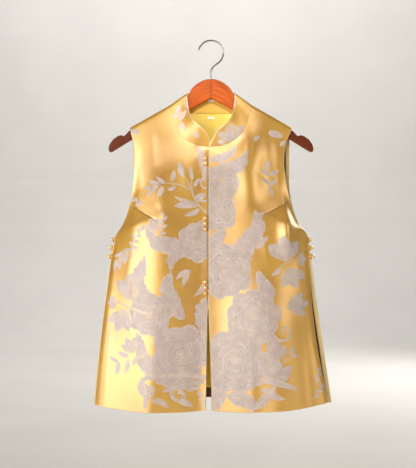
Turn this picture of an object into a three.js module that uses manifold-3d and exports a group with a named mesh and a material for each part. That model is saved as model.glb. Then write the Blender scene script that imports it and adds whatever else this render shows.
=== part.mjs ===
// A sleeveless jacket of brocade on a wooden hanger, in millimetres.
// +X is to the right of someone looking at the front, +Z is up and +Y is towards the wall that it hangs near.
// The origin is the inside of the hook's crown, where a rail or a nail holds the hanger.
import * as THREE from 'three';
import { mergeVertices } from 'three/addons/utils/BufferGeometryUtils.js';
import Module from 'manifold-3d';

const wasm = await Module();
wasm.setup();

// Driving sizes
const CLOTH = 1.6; // wall of a panel, its lining included
const COLLAR_CLOTH = 2.2; // the stand collar is stiffened
const SATIN = 1.0; // wall of the loose back lining
const SEAM_GAP = 0.35; // between pieces that are sewn together
const LAYER_GAP = 0.3; // between layers that lie on each other
const RIDGE_RADIUS = 9; // outside of the shoulder where it turns over the hanger
const COLLAR_RIDGE_RADIUS = 9.4;
const FRONT_LAP = 2.3; // how far the lower front lies behind the upper one at the centre
const LAP_FROM_X = -40; // where the lower front starts to go behind
const LAP_RAMP = 22;
const HANGER_THICK = 11;
const HANGER_BEVEL = 2;
const WIRE_RADIUS = 1.7;
const HOOK_RADIUS = 25.5; // centre line of the wire
const HUMP_TOP = -77.5; // top of the wood at the middle
const STEM_DEPTH = 16; // how far the wire goes into the wood
const BALL_RADIUS = 4;
const LOOP_RADIUS = 1; // half the thickness of a button loop's cord
const BALL_SEAT = 0.5; // between a ball or its loop and the cloth under them
const SIDE_BALL_SEAT = 0.3; // less at the sides, where the back's rim slants away from the ball
const HEM_FACING = 20; // shell cloth turned up inside the back hem

// Colours from the photograph
const GOLD = 0xe8b45a;
const LINING_GOLD = 0xf5cf6a;
const BRASS = 0xe6b95c;
const CREAM = 0xf2dfae;
const WOOD = 0xa8542c;
const STEEL = 0xb9b6b0;
const LABEL_WHITE = 0xfbf6e6;

function table(columns, rows) {
  return rows.map((row) => Object.fromEntries(columns.map((name, i) => [name, row[i]])));
}

// Sections of a front panel from the shoulder ridge (0) to the hem (20). Each runs from the neck or the centre
// front (inner) to the armhole or the side slit (outer). Y is the outside of the cloth at the two ends and half-way
// between. Sections 0 to 9 start on the neck seam, and section 13 is at the foot of the armhole. Sag is how far the
// middle of a section hangs below its ends.
const FRONT_COLUMNS = ['innerX', 'innerZ', 'outerX', 'outerZ', 'innerY', 'middleY', 'outerY', 'sag'];
const RIGHT_FRONT = table(FRONT_COLUMNS, [
  [-85.1, -131.4, -165.6, -176.7, 0, 0, 0, 0],
  [-81.8, -140.9, -163.3, -186.0, -9.0, -9.0, -9.0, 0],
  [-77.9, -152.3, -159.2, -203.0, -10.8, -10.7, -9.8, 0],
  [-73.8, -165.8, -155.7, -217.5, -12.5, -12.5, -10.0, 0],
  [-67.1, -185.0, -155.0, -243.0, -17.0, -15.0, -10.0, 0],
  [-58.8, -197.0, -155.5, -258.0, -20.0, -17.0, -10.2, 0],
  [-48.7, -206.0, -156.4, -271.0, -22.0, -19.0, -10.4, 0],
  [-36.5, -212.3, -157.5, -285.0, -23.5, -21.0, -10.6, 0],
  [-22.6, -216.6, -159.1, -300.0, -24.5, -23.5, -10.6, 0],
  [-3.6, -220.4, -161.5, -315.5, -26.0, -27.0, -10.5, 0],
  [1.0, -241.3, -164.8, -331.2, -27.5, -31.0, -10.0, 0],
  [2.5, -269.9, -172.8, -358.2, -31.0, -36.0, -8.0, 0],
  [2.5, -298.3, -182.7, -380.1, -35.0, -41.0, -6.0, 0],
  [2.5, -326.6, -192.7, -395.0, -38.0, -45.0, -4.2, 0],
  [2.5, -376.9, -198.5, -419.6, -41.0, -48.0, -3.4, 0],
  [2.5, -427.1, -204.6, -448.2, -42.0, -48.0, -4.0, 0],
  [2.5, -507.3, -212.4, -513.4, -43.0, -47.0, -8.0, 1],
  [-6.8, -557.4, -218.8, -558.3, -43.5, -46.0, -9.0, 2],
  [-8.4, -617.5, -225.3, -617.2, -44.5, -46.0, -11.0, 3],
  [-9.6, -677.5, -230.8, -674.0, -45.5, -47.0, -13.0, 4],
  [-11.2, -748.9, -236.8, -742.1, -46.0, -48.0, -14.0, 5],
]);
const LEFT_FRONT = table(FRONT_COLUMNS, [
  [85.1, -131.4, 165.0, -176.7, 0, 0, 0, 0],
  [82.0, -140.9, 162.5, -186.0, -9.0, -9.0, -9.0, 0],
  [79.0, -152.3, 155.5, -201.0, -10.8, -10.7, -9.8, 0],
  [74.5, -165.8, 151.5, -214.5, -12.5, -12.5, -10.0, 0],
  [66.3, -184.6, 149.0, -236.0, -17.0, -15.0, -10.0, 0],
  [58.0, -195.5, 148.5, -252.2, -20.0, -17.0, -10.2, 0],
  [47.6, -205.0, 149.7, -268.6, -22.0, -19.0, -10.4, 0],
  [35.4, -211.9, 151.5, -282.8, -23.5, -21.0, -10.6, 0],
  [21.2, -216.8, 153.7, -297.1, -24.5, -23.5, -10.6, 0],
  [-2.6, -221.0, 157.2, -311.4, -26.0, -27.0, -10.5, 0],
  [-4.6, -241.3, 161.7, -329.7, -27.5, -31.0, -10.0, 0],
  [-5.5, -269.9, 169.4, -354.6, -31.0, -36.0, -8.0, 0],
  [-5.5, -298.3, 180.5, -376.0, -35.0, -41.0, -6.0, 0],
  [-5.5, -326.6, 194.3, -393.0, -38.0, -45.0, -4.2, 0],
  [-5.5, -376.9, 198.9, -419.6, -41.0, -48.0, -3.4, 0],
  [-5.5, -427.1, 200.5, -448.2, -42.0, -48.0, -4.0, 0],
  [-5.5, -507.3, 204.2, -511.4, -43.0, -47.0, -8.0, 1],
  [-4.3, -557.4, 208.7, -558.3, -43.5, -46.0, -9.0, 2],
  [-2.1, -617.5, 216.1, -617.2, -44.5, -46.0, -11.0, 3],
  [-0.1, -677.5, 226.0, -674.0, -45.5, -47.0, -13.0, 4],
  [1.9, -748.5, 238.9, -738.0, -46.0, -48.0, -14.0, 5],
]);
const FRONT_ROWS = [
  0, 1 / 3, 2 / 3, 1, 2, 3, 4, 5, 6, 7, 8, 8.5, 9, 10, 11, 12, 13, 14, 15, 15.5, 16, 16.5, 17, 18, 19, 20,
];
const FRONT_SPANS = 16; // spans across a front
const LAST_FRONT_NECK_ROW = 9;

// Sections of the back from the shoulder ridge (0) to the hem (13), from the neck seam or the centre back to an
// edge. The wearer's left edge (leftX) stands further out than the right one, because the jacket hangs askew.
const BACK_COLUMNS = ['innerX', 'innerZ', 'rightX', 'leftX', 'outerZ', 'innerY', 'middleY', 'outerY'];
const BACK = table(BACK_COLUMNS, [
  [85.1, -131.4, -165.6, 165.0, -176.7, 0, 0, 0],
  [80.0, -138.5, -165.0, 164.5, -186.0, 9.0, 9.0, 9.0],
  [62.0, -144.0, -161.5, 161.5, -200.0, 10.5, 10.0, 9.3],
  [32.0, -147.3, -159.5, 160.8, -216.0, 12.5, 11.5, 9.3],
  [0.0, -148.6, -158.5, 160.6, -236.0, 13.5, 12.5, 9.3],
  [0.0, -185.0, -158.5, 160.6, -268.0, 15.0, 14.0, 9.3],
  [0.0, -235.0, -160.5, 161.5, -305.0, 18.0, 17.0, 9.3],
  [0.0, -290.0, -169.0, 170.0, -348.0, 21.0, 20.0, 7.5],
  [0.0, -340.0, -183.0, 184.0, -381.0, 23.0, 22.0, 5.0],
  [0.0, -385.0, -195.5, 197.5, -398.0, 24.0, 23.0, 3.4],
  [0.0, -430.0, -203.5, 204.0, -435.0, 24.0, 22.0, 2.6],
  [0.0, -520.0, -215.5, 214.5, -520.0, 21.0, 20.0, 4.0],
  [0.0, -620.0, -228.0, 229.5, -622.0, 19.0, 19.0, 5.0],
  [0.0, -730.4, -240.0, 247.0, -740.5, 17.0, 19.0, 5.0],
]);
const LAST_BACK_ROW = BACK.length - 1;
const LINING_TOP_ROW = 2;
const LINING_BOTTOM_ROW = LAST_BACK_ROW - HEM_FACING / (BACK.at(-2).innerZ - BACK.at(-1).innerZ);
const LINING_SPANS = 10;
const BACK_ROWS = [
  0, 1 / 3, 2 / 3, 1, 1.5, 2, 2.5, 3, 3.5, 4, 5, 6, 7, 8, 9, 9.5, 10, 10.5, 11, 11.5, 12, 12.5,
  LINING_BOTTOM_ROW, LAST_BACK_ROW,
];
const BACK_SPANS = 12; // spans on each side of the centre back
const BACK_NECK_ROW = 4;

// Sections of the stand collar, from the centre front (row 9 of a front) over the shoulder to the centre back (row
// 4 of the back). X is on the wearer's left and mirrored on the right.
const COLLAR_COLUMNS = ['panel', 'row', 'topX', 'topZ', 'topY'];
const COLLAR_FRONT = table(COLLAR_COLUMNS, [
  ['front', 9, 3.6, -211.0, -28.0],
  ['front', 8.5, 7.4, -198.0, -35.0],
  ['front', 8, 14.6, -186.2, -41.0],
  ['front', 7, 23.2, -179.2, -43.0],
  ['front', 6, 30.6, -172.7, -41.0],
  ['front', 5, 37.6, -165.3, -36.0],
  ['front', 4, 42.9, -155.5, -28.0],
  ['front', 3, 46.8, -139.6, -18.0],
  ['front', 2, 49.0, -123.0, -11.5],
  ['front', 1, 49.6, -114.0, -9.4],
]);
const COLLAR_RIDGE = { topX: 50.0, topZ: -106.5 };
const COLLAR_BACK = table(COLLAR_COLUMNS, [
  ['back', 1, 48.6, -106.5, 9.4],
  ['back', 1.5, 46.5, -104.0, 11.6],
  ['back', 2, 40.0, -102.0, 12.8],
  ['back', 2.5, 32.0, -100.8, 13.5],
  ['back', 3, 22.0, -100.0, 13.9],
  ['back', 3.5, 11.0, -99.5, 14.1],
  ['back', 4, 0.0, -99.4, 14.2],
]);
const LEFT_COLLAR_END_X = -2.4; // the left end of the collar meets the right one left of the middle
const COLLAR_SPANS = 3;

// Soft folds of the two fronts. Height is how far the crest stands out, and a trough has a negative one. A fold
// swells from nothing over the first share of its length, and fades over the last share.
const FOLD_COLUMNS = ['name', 'topX', 'topZ', 'bottomX', 'bottomZ', 'width', 'height', 'swell', 'fade'];
const FRONT_FOLDS = table(FOLD_COLUMNS, [
  ['crest of the right hem', -112, -520, -129, -770, 24, 9, 0.8, 0],
  ['trough beside it', -150, -560, -172, -770, 26, -6, 0.8, 0],
  ['crest at the right side', -190, -500, -212, -770, 22, 5, 0.8, 0],
  ['trough by the right centre', -34, -560, -42, -770, 26, -7, 0.8, 0],
  ['crest by the left centre', 45, -480, 56, -770, 24, 8, 0.8, 0],
  ['trough of the left hem', 96, -520, 108, -770, 26, -6, 0.8, 0],
  ['crest of the left hem', 140, -500, 172, -770, 28, 6, 0.8, 0],
  ['trough at the left side', 176, -470, 212, -770, 20, -4, 0.8, 0],
  ['pull above the right dart', -104, -250, -100, -390, 16, 3, 0.5, 0.5],
  ['pull above the left dart', 66, -150, 60, -330, 20, 4, 0.4, 0.4],
  ['trough of the left chest', 102, -230, 98, -370, 18, -4, 0.5, 0.5],
  ['pull below the left armhole', 140, -300, 150, -470, 22, 4, 0.5, 0.5],
]);

// Soft folds of the back, in the same terms.
const BACK_FOLDS = table(FOLD_COLUMNS, [
  ['crest at the right side of the back', -178, -470, -206, -770, 22, 4, 0.8, 0],
  ['trough of the right back', -126, -500, -142, -770, 26, -5, 0.8, 0],
  ['crest of the right back', -68, -480, -78, -770, 28, 6, 0.8, 0],
  ['trough by the centre back', -8, -540, -6, -770, 24, -5, 0.8, 0],
  ['crest by the centre back', 46, -500, 54, -770, 26, 6, 0.8, 0],
  ['trough of the left back', 106, -520, 120, -770, 26, -5, 0.8, 0],
  ['crest of the left back', 164, -490, 186, -770, 26, 5, 0.8, 0],
]);

// Bust darts, from the armhole to the tip, sewn as a shallow crease.
const DART_COLUMNS = ['name', 'startX', 'startZ', 'tipX', 'tipZ'];
const DARTS = table(DART_COLUMNS, [
  ['right bust dart', -158, -340, -103, -371],
  ['left bust dart', 160, -328, 96, -361],
]);
const DART_DEPTH = 2;
const DART_WIDTH = 11;

// Fastenings in groups of three balls. The front ones sit beside the edge of the wearer's left front.
const GROUP_COLUMNS = ['name', 'firstZ', 'pitch'];
const FRONT_GROUPS = table(GROUP_COLUMNS, [
  ['neck', -230.0, 11.6],
  ['bust', -363.0, 11.2],
  ['waist', -490.5, 11.8],
]);
const FRONT_BALL_X = -11.4;
const BEYOND_THE_SIDE = 260; // an X outside both panels, which finds the edge itself
const SIDE_FIRST_Z = -407;
const SIDE_PITCH = 17;
const SIDE_LOOP_SINK = 1.4; // the fronts' side rims slant, so a loop's feet reach this much further in
const BALLS_IN_A_GROUP = 3;

const LABEL_THICK = 0.5;
const NECK_TAB = { width: 13.6, height: 5, centreZ: -155.8, backY: 10.2 };
const COLLAR_LABEL = { width: 32, height: 18, centreZ: -115.4, backY: 10.9 };

// Half of the wooden hanger's outline, from the middle of the top round the end to the middle of the arch.
const HANGER_COLUMNS = ['x', 'z'];
const HANGER_HALF = table(HANGER_COLUMNS, [
  [0, HUMP_TOP],
  [9, -78.4],
  [18, -81.4],
  [27, -86.2],
  [36, -93.4],
  [42, -100.4],
  [44.6, -110.4],
  [82.2, -136.0],
  [162, -180.8],
  [168.5, -184.5],
  [172.5, -189.5],
  [178, -194.6],
  [184, -192.6],
  [191, -194.8],
  [201, -201.9],
  [207.5, -211.5],
  [209.8, -220.0],
  [208.6, -226.4],
  [203.5, -227.4],
  [160, -200.6],
  [100, -170.8],
  [46, -142.8],
  [30, -131.0],
  [15, -120.6],
  [0, -117.3],
]);

const SEARCH_PASSES = 40; // halvings that find a row at a height

// The wire's way from its arc back to the stem, below the arc's centre.
const HOOK_NECK = table(['x', 'below'], [
  [7.4, 26.4],
  [1.4, 33.6],
]);
const HOOK_TIP_ANGLE = 165;
const HOOK_LAST_ANGLE = -50;
const HOOK_ARC_STEPS = 14;

const clamp01 = (value) => Math.min(1, Math.max(0, value));
const smooth = (value) => clamp01(value) ** 2 * (3 - 2 * clamp01(value));
const lerp = (a, b, share) => a + (b - a) * share;

// A smooth curve through a column of a table that never overshoots its rows (monotone cubic).
function column(rows, name) {
  const values = rows.map((row) => row[name]);
  const steps = values.slice(1).map((value, i) => value - values[i]);
  const slopes = values.map((_, i) => {
    const before = steps[Math.max(0, i - 1)];
    const after = steps[Math.min(steps.length - 1, i)];
    return before * after <= 0 ? 0 : (2 * before * after) / (before + after);
  });
  return (at) => {
    const i = Math.min(values.length - 2, Math.max(0, Math.floor(at)));
    const t = at - i;
    const level = (1 + 2 * t) * (1 - t) ** 2 * values[i] + t ** 2 * (3 - 2 * t) * values[i + 1];
    return level + t * (1 - t) ** 2 * slopes[i] - t ** 2 * (1 - t) * slopes[i + 1];
  };
}

function columnsOf(rows) {
  const names = Object.keys(rows[0]);
  return Object.fromEntries(names.map((name) => [name, column(rows, name)]));
}

// Depth across a panel that is level at the centre and passes through the middle and the outer edge.
function bowAcross(inner, middle, outer, across) {
  const square = 8 * middle - 7 * inner - outer;
  const cube = 2 * outer + 6 * inner - 8 * middle;
  return inner + square * across ** 2 + cube * across ** 3;
}

// How far round the shoulder's turn a row between 0 and 1 lies, in radians from the ridge.
function turnAngle(row) {
  const start = SEAM_GAP / 2 / RIDGE_RADIUS;
  return lerp(start, Math.PI / 2, row);
}

// How far a set of folds stands out at a place.
function foldsAt(folds, x, z) {
  let relief = 0;
  for (const fold of folds) {
    const along = (fold.topZ - z) / (fold.topZ - fold.bottomZ);
    if (along <= 0) continue;
    const crestX = lerp(fold.topX, fold.bottomX, along);
    const swell = smooth(along / fold.swell);
    const fade = fold.fade > 0 ? smooth((1 - along) / fold.fade) : 1;
    relief += fold.height * swell * fade * Math.exp(-(((x - crestX) / fold.width) ** 2));
  }
  return relief;
}

// How far the darts' creases lie back at a place on the fronts.
function dartsAt(x, z) {
  let crease = 0;
  for (const dart of DARTS) {
    const run = new THREE.Vector2(dart.tipX - dart.startX, dart.tipZ - dart.startZ);
    const from = new THREE.Vector2(x - dart.startX, z - dart.startZ);
    const share = clamp01(from.dot(run) / run.lengthSq());
    const off = from.sub(run.clone().multiplyScalar(share)).length();
    crease += DART_DEPTH * (1 - share ** 2) * Math.exp(-((off / DART_WIDTH) ** 2));
  }
  return crease;
}

// Folds fade out towards a panel's outer edge, where the facing holds it flat.
function edgeCalm(across) {
  return smooth((1 - across) / 0.12);
}

// The outside of a front panel at a row and a share of the way from the centre to the outer edge.
function frontSurface(rows, isUnder) {
  const at = columnsOf(rows);
  return (row, across) => {
    const onTurn = row < 1;
    const place = onTurn ? 1 - Math.cos(turnAngle(row)) : row;
    const read = (name) => (onTurn ? lerp(rows[0][name], rows[1][name], place) : at[name](place));
    const x = lerp(read('innerX'), read('outerX'), across);
    const sag = read('sag') * (1 - Math.abs(2 * across - 1) ** 3);
    const z = lerp(read('innerZ'), read('outerZ'), across) - sag;
    if (onTurn) return new THREE.Vector3(x, -RIDGE_RADIUS * Math.sin(turnAngle(row)), z);
    const [a, b, c] = [read('innerY'), read('middleY'), read('outerY')];
    const bow = bowAcross(a, b, c, across);
    const settled = smooth(row - 1);
    const nearCentre = smooth((x - LAP_FROM_X) / LAP_RAMP) * smooth(row - LAST_FRONT_NECK_ROW + 2);
    const behind = isUnder ? FRONT_LAP * nearCentre : 0;
    const relief = foldsAt(FRONT_FOLDS, x, z) - dartsAt(x, z);
    return new THREE.Vector3(x, bow - settled * edgeCalm(across) * relief + behind, z);
  };
}

// The outside of the back at a row, on one side (-1 is the wearer's right), from the centre (0) to the edge (1).
function backSurface(row, side, across) {
  const at = backSurface.columns;
  const onTurn = row < 1;
  const place = onTurn ? 1 - Math.cos(turnAngle(row)) : row;
  const read = (name) => (onTurn ? lerp(BACK[0][name], BACK[1][name], place) : at[name](place));
  const innerX = side * read('innerX');
  const outerX = side < 0 ? read('rightX') : read('leftX');
  const x = lerp(innerX, outerX, across);
  const z = lerp(read('innerZ'), read('outerZ'), across);
  if (onTurn) return new THREE.Vector3(x, RIDGE_RADIUS * Math.sin(turnAngle(row)), z);
  const [a, b, c] = [read('innerY'), read('middleY'), read('outerY')];
  return new THREE.Vector3(x, bowAcross(a, b, c, across) + edgeCalm(across) * foldsAt(BACK_FOLDS, x, z), z);
}
backSurface.columns = columnsOf(BACK);

const rightFrontAt = frontSurface(RIGHT_FRONT, true);
const leftFrontAt = frontSurface(LEFT_FRONT, false);

// The way up from a shoulder's ridge line, square to it.
function ridgeNormal(from, to) {
  const run = new THREE.Vector3().subVectors(to, from).setY(0).normalize();
  const normal = new THREE.Vector3(-run.z, 0, run.x);
  return normal.z < 0 ? normal.negate() : normal;
}

// A closed wall between two offsets of a surface. Quads run counter-clockwise seen from outside, and offsets go
// inwards. Pinned gives the normal of each vertex on a ridge, where the neighbouring panel carries on.
function wall(points, quads, near, far, pinned = new Map()) {
  const normals = points.map(() => new THREE.Vector3());
  const corners = quads.flatMap(([a, b, c, d]) => [[a, b, c], [a, c, d]]);
  for (const [a, b, c] of corners) {
    const edge = new THREE.Vector3().subVectors(points[b], points[a]);
    const face = edge.cross(new THREE.Vector3().subVectors(points[c], points[a]));
    for (const i of [a, b, c]) normals[i].add(face);
  }
  normals.forEach((normal, i) => normal.copy(pinned.get(i) ?? normal).normalize());
  const count = points.length;
  const outside = points.map((point, i) => point.clone().addScaledVector(normals[i], -near));
  const inside = points.map((point, i) => point.clone().addScaledVector(normals[i], -far));
  const edges = new Set(corners.flatMap(([a, b, c]) => [`${a},${b}`, `${b},${c}`, `${c},${a}`]));
  const triangles = [];
  for (const [a, b, c] of corners) {
    triangles.push(a, b, c, a + count, c + count, b + count);
  }
  for (const edge of edges) {
    const [a, b] = edge.split(',').map(Number);
    if (!edges.has(`${b},${a}`)) triangles.push(a, a + count, b + count, a, b + count, b);
  }
  const geometry = new THREE.BufferGeometry();
  const places = [...outside, ...inside].flatMap((point) => point.toArray());
  geometry.setAttribute('position', new THREE.Float32BufferAttribute(places, 3));
  geometry.setIndex(triangles);
  return geometry;
}

// Quads of a grid of rows and columns, turned over when the grid is seen from its back.
function gridQuads(rowCount, columnCount, turned) {
  const quads = [];
  for (let r = 0; r < rowCount - 1; r += 1) {
    for (let c = 0; c < columnCount - 1; c += 1) {
      const a = r * columnCount + c;
      const quad = [a, a + columnCount, a + columnCount + 1, a + 1];
      quads.push(turned ? quad.reverse() : quad);
    }
  }
  return quads;
}

function frontPanel(surface, turned) {
  const points = [];
  for (const row of FRONT_ROWS) {
    for (let c = 0; c <= FRONT_SPANS; c += 1) points.push(surface(row, c / FRONT_SPANS));
  }
  const up = ridgeNormal(points[0], points[FRONT_SPANS]);
  const pinned = new Map(points.slice(0, FRONT_SPANS + 1).map((_, i) => [i, up]));
  return wall(points, gridQuads(FRONT_ROWS.length, FRONT_SPANS + 1, turned), 0, CLOTH, pinned);
}

// The back's grid between two rows, out to a number of spans each side. The two halves share the centre back below the
// neck seam, and have the neck between them above it.
function backGrid(firstRow, lastRow, spans) {
  const rows = BACK_ROWS.filter((row) => row >= firstRow && row <= lastRow);
  const points = [];
  const index = new Map();
  const vertex = (row, side, c) => {
    const key = c === 0 && row >= BACK_NECK_ROW ? `${row} centre` : `${row} ${side} ${c}`;
    if (!index.has(key)) {
      index.set(key, points.length);
      points.push(backSurface(row, side, c / BACK_SPANS));
    }
    return index.get(key);
  };
  const quads = [];
  for (let r = 0; r < rows.length - 1; r += 1) {
    for (const side of [-1, 1]) {
      for (let c = 0; c < spans; c += 1) {
        const quad = [
          vertex(rows[r], side, c),
          vertex(rows[r + 1], side, c),
          vertex(rows[r + 1], side, c + 1),
          vertex(rows[r], side, c + 1),
        ];
        quads.push(side < 0 ? quad : quad.reverse());
      }
    }
  }
  const pinned = new Map();
  for (const side of [-1, 1]) {
    const up = ridgeNormal(backSurface(0, side, 0), backSurface(0, side, 1));
    for (let c = 0; c <= spans; c += 1) {
      const ridge = index.get(`0 ${side} ${c}`);
      if (ridge !== undefined) pinned.set(ridge, up);
    }
  }
  return { points, quads, pinned };
}

function backPanel() {
  const { points, quads, pinned } = backGrid(0, BACK_ROWS.at(-1), BACK_SPANS);
  return wall(points, quads, 0, CLOTH, pinned);
}

function backLining() {
  const { points, quads } = backGrid(LINING_TOP_ROW, LINING_BOTTOM_ROW, LINING_SPANS);
  return wall(points, quads, CLOTH + LAYER_GAP, CLOTH + LAYER_GAP + SATIN);
}

// One grain line of the collar, from the seam to the top edge.
function collarLine(seam, top) {
  const rise = new THREE.Vector3().subVectors(top, seam).normalize();
  const foot = seam.clone().addScaledVector(rise, SEAM_GAP * 1.5);
  const line = [];
  for (let j = 0; j <= COLLAR_SPANS; j += 1) line.push(foot.clone().lerp(top, j / COLLAR_SPANS));
  return line;
}

function collarLines() {
  const sideLines = (side) => {
    const front = side < 0 ? rightFrontAt : leftFrontAt;
    const lines = COLLAR_FRONT.map(({ row, topX, topZ, topY }) => {
      const edgeX = row === LAST_FRONT_NECK_ROW && side > 0 ? LEFT_COLLAR_END_X : side * topX;
      return collarLine(front(row, 0), new THREE.Vector3(edgeX, topY, topZ));
    });
    for (const row of [2 / 3, 1 / 3]) {
      const angle = (row * Math.PI) / 2;
      const share = 1 - Math.cos(angle);
      const top = new THREE.Vector3(
        side * lerp(COLLAR_RIDGE.topX, COLLAR_FRONT.at(-1).topX, share),
        -COLLAR_RIDGE_RADIUS * Math.sin(angle),
        lerp(COLLAR_RIDGE.topZ, COLLAR_FRONT.at(-1).topZ, share),
      );
      lines.push(collarLine(front(row, 0), top));
    }
    const ridgeSeam = front(0, 0).setY(0);
    lines.push(collarLine(ridgeSeam, new THREE.Vector3(side * COLLAR_RIDGE.topX, 0, COLLAR_RIDGE.topZ)));
    for (const row of [1 / 3, 2 / 3]) {
      const angle = (row * Math.PI) / 2;
      const share = 1 - Math.cos(angle);
      const top = new THREE.Vector3(
        side * lerp(COLLAR_RIDGE.topX, COLLAR_BACK[0].topX, share),
        COLLAR_RIDGE_RADIUS * Math.sin(angle),
        lerp(COLLAR_RIDGE.topZ, COLLAR_BACK[0].topZ, share),
      );
      lines.push(collarLine(backSurface(row, side, 0), top));
    }
    for (const { row, topX, topZ, topY } of COLLAR_BACK) {
      lines.push(collarLine(backSurface(row, side, 0), new THREE.Vector3(side * topX, topY, topZ)));
    }
    return lines;
  };
  return [...sideLines(-1), ...sideLines(1).reverse().slice(1)];
}

function collar() {
  const lines = collarLines();
  return wall(lines.flat(), gridQuads(lines.length, COLLAR_SPANS + 1, true), 0, COLLAR_CLOTH);
}

// A blank plate at the centre back, lying against the inside of the cloth.
function label({ width, height, centreZ, backY }) {
  const plate = new THREE.BoxGeometry(width, LABEL_THICK, height);
  plate.translate(0, backY - LABEL_THICK / 2, centreZ);
  return plate;
}

// The row and share across a front that lie at a place seen from the front.
function findOnFront(surface, x, z) {
  let [low, high] = [0, FRONT_ROWS.at(-1)];
  let across = 0;
  for (let pass = 0; pass < SEARCH_PASSES; pass += 1) {
    const row = (low + high) / 2;
    const [inner, outer] = [surface(row, 0), surface(row, 1)];
    across = clamp01((x - inner.x) / (outer.x - inner.x));
    if (surface(row, across).z > z) low = row;
    else high = row;
  }
  return surface((low + high) / 2, across);
}

// The edge of the back at a height.
function sideOfBack(side, z) {
  let [low, high] = [0, BACK_ROWS.at(-1)];
  for (let pass = 0; pass < SEARCH_PASSES; pass += 1) {
    const row = (low + high) / 2;
    if (backSurface(row, side, 1).z > z) low = row;
    else high = row;
  }
  return backSurface((low + high) / 2, side, 1);
}

function ball(centre) {
  const sphere = new THREE.SphereGeometry(BALL_RADIUS, 9, 7);
  sphere.rotateX(Math.PI / 2);
  sphere.translate(centre.x, centre.y, centre.z);
  return sphere;
}

function tubeAlong(points, radius, sides, steps) {
  const section = new THREE.Shape();
  for (let i = 0; i < sides; i += 1) {
    const angle = (i / sides) * 2 * Math.PI;
    section[i ? 'lineTo' : 'moveTo'](radius * Math.cos(angle), radius * Math.sin(angle));
  }
  section.closePath();
  const extrudePath = new THREE.CatmullRomCurve3(points, false, 'centripetal');
  return new THREE.ExtrudeGeometry(section, { extrudePath, steps, bevelEnabled: false });
}

// A cord loop that leaves an edge at two feet and goes round a ball. Towards points from the ball to the edge along the
// cloth, and up runs along the edge.
function buttonLoop(centre, towards, up, outward, reach, footDrop) {
  const clear = BALL_RADIUS + LOOP_RADIUS + LAYER_GAP;
  const lift = BALL_RADIUS - LOOP_RADIUS;
  const round = Math.sqrt(clear ** 2 - lift ** 2);
  const middle = centre.clone().addScaledVector(outward, -lift);
  const at = (along, height, sink) =>
    middle.clone().addScaledVector(towards, along).addScaledVector(up, height).addScaledVector(outward, -sink);
  const points = [at(reach, round, footDrop), at(reach * 0.4, round, footDrop * 0.25)];
  for (let i = 0; i <= 4; i += 1) {
    const angle = Math.PI / 2 + (i / 4) * Math.PI;
    points.push(at(round * Math.cos(angle), round * Math.sin(angle), 0));
  }
  points.push(at(reach * 0.4, -round, footDrop * 0.25), at(reach, -round, footDrop));
  return tubeAlong(points, LOOP_RADIUS, 6, 11);
}

function hangerBody() {
  const right = HANGER_HALF.map(({ x, z }) => new THREE.Vector2(x, z));
  const left = right.slice(1, -1).reverse().map(({ x, y }) => new THREE.Vector2(-x, y));
  const settings = {
    depth: HANGER_THICK - 2 * HANGER_BEVEL,
    bevelThickness: HANGER_BEVEL,
    bevelSize: HANGER_BEVEL,
    bevelOffset: -HANGER_BEVEL,
    bevelSegments: 1,
  };
  const board = new THREE.ExtrudeGeometry(new THREE.Shape([...right, ...left].reverse()), settings);
  board.translate(0, 0, -settings.depth / 2);
  board.rotateX(Math.PI / 2);
  const hole = new THREE.CylinderGeometry(WIRE_RADIUS + LAYER_GAP, WIRE_RADIUS + LAYER_GAP, 2 * STEM_DEPTH, 16);
  hole.rotateX(Math.PI / 2);
  hole.translate(0, 0, HUMP_TOP + LAYER_GAP);
  return fromSolid(toSolid(board).subtract(toSolid(hole)));
}

function hook() {
  const centreZ = WIRE_RADIUS - HOOK_RADIUS;
  const points = [];
  for (let i = 0; i <= HOOK_ARC_STEPS; i += 1) {
    const angle = THREE.MathUtils.degToRad(lerp(HOOK_TIP_ANGLE, HOOK_LAST_ANGLE, i / HOOK_ARC_STEPS));
    points.push(new THREE.Vector3(HOOK_RADIUS * Math.cos(angle), 0, centreZ + HOOK_RADIUS * Math.sin(angle)));
  }
  for (const { x, below } of HOOK_NECK) points.push(new THREE.Vector3(x, 0, centreZ - below));
  for (const z of [HUMP_TOP + 12, HUMP_TOP, HUMP_TOP - STEM_DEPTH + 2 * LAYER_GAP]) {
    points.push(new THREE.Vector3(0, 0, z));
  }
  return tubeAlong(points, WIRE_RADIUS, 8, 48);
}

function toSolid(geometry) {
  const bare = geometry.clone();
  bare.deleteAttribute('normal');
  bare.deleteAttribute('uv');
  const merged = mergeVertices(bare, 1e-4);
  const triVerts = new Uint32Array(merged.index.array);
  return new wasm.Manifold(new wasm.Mesh({ numProp: 3, vertProperties: merged.attributes.position.array, triVerts }));
}

function fromSolid(solid) {
  const mesh = solid.getMesh();
  const geometry = new THREE.BufferGeometry();
  geometry.setAttribute('position', new THREE.BufferAttribute(mesh.vertProperties, mesh.numProp));
  geometry.setIndex(new THREE.BufferAttribute(mesh.triVerts, 1));
  return geometry;
}

const cloth = new THREE.MeshStandardMaterial({ color: GOLD, roughness: 0.45, metalness: 0.1 });
const satin = new THREE.MeshStandardMaterial({ color: LINING_GOLD, roughness: 0.35 });
const brass = new THREE.MeshStandardMaterial({ color: BRASS, roughness: 0.3, metalness: 0.8 });
const cord = new THREE.MeshStandardMaterial({ color: CREAM, roughness: 0.5 });
const wood = new THREE.MeshStandardMaterial({ color: WOOD, roughness: 0.4 });
const steel = new THREE.MeshStandardMaterial({ color: STEEL, roughness: 0.25, metalness: 1 });
const white = new THREE.MeshStandardMaterial({ color: LABEL_WHITE, roughness: 0.7 });

const group = new THREE.Group();
function add(name, geometry, material) {
  const mesh = new THREE.Mesh(geometry, material);
  mesh.name = name;
  group.add(mesh);
}

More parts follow.
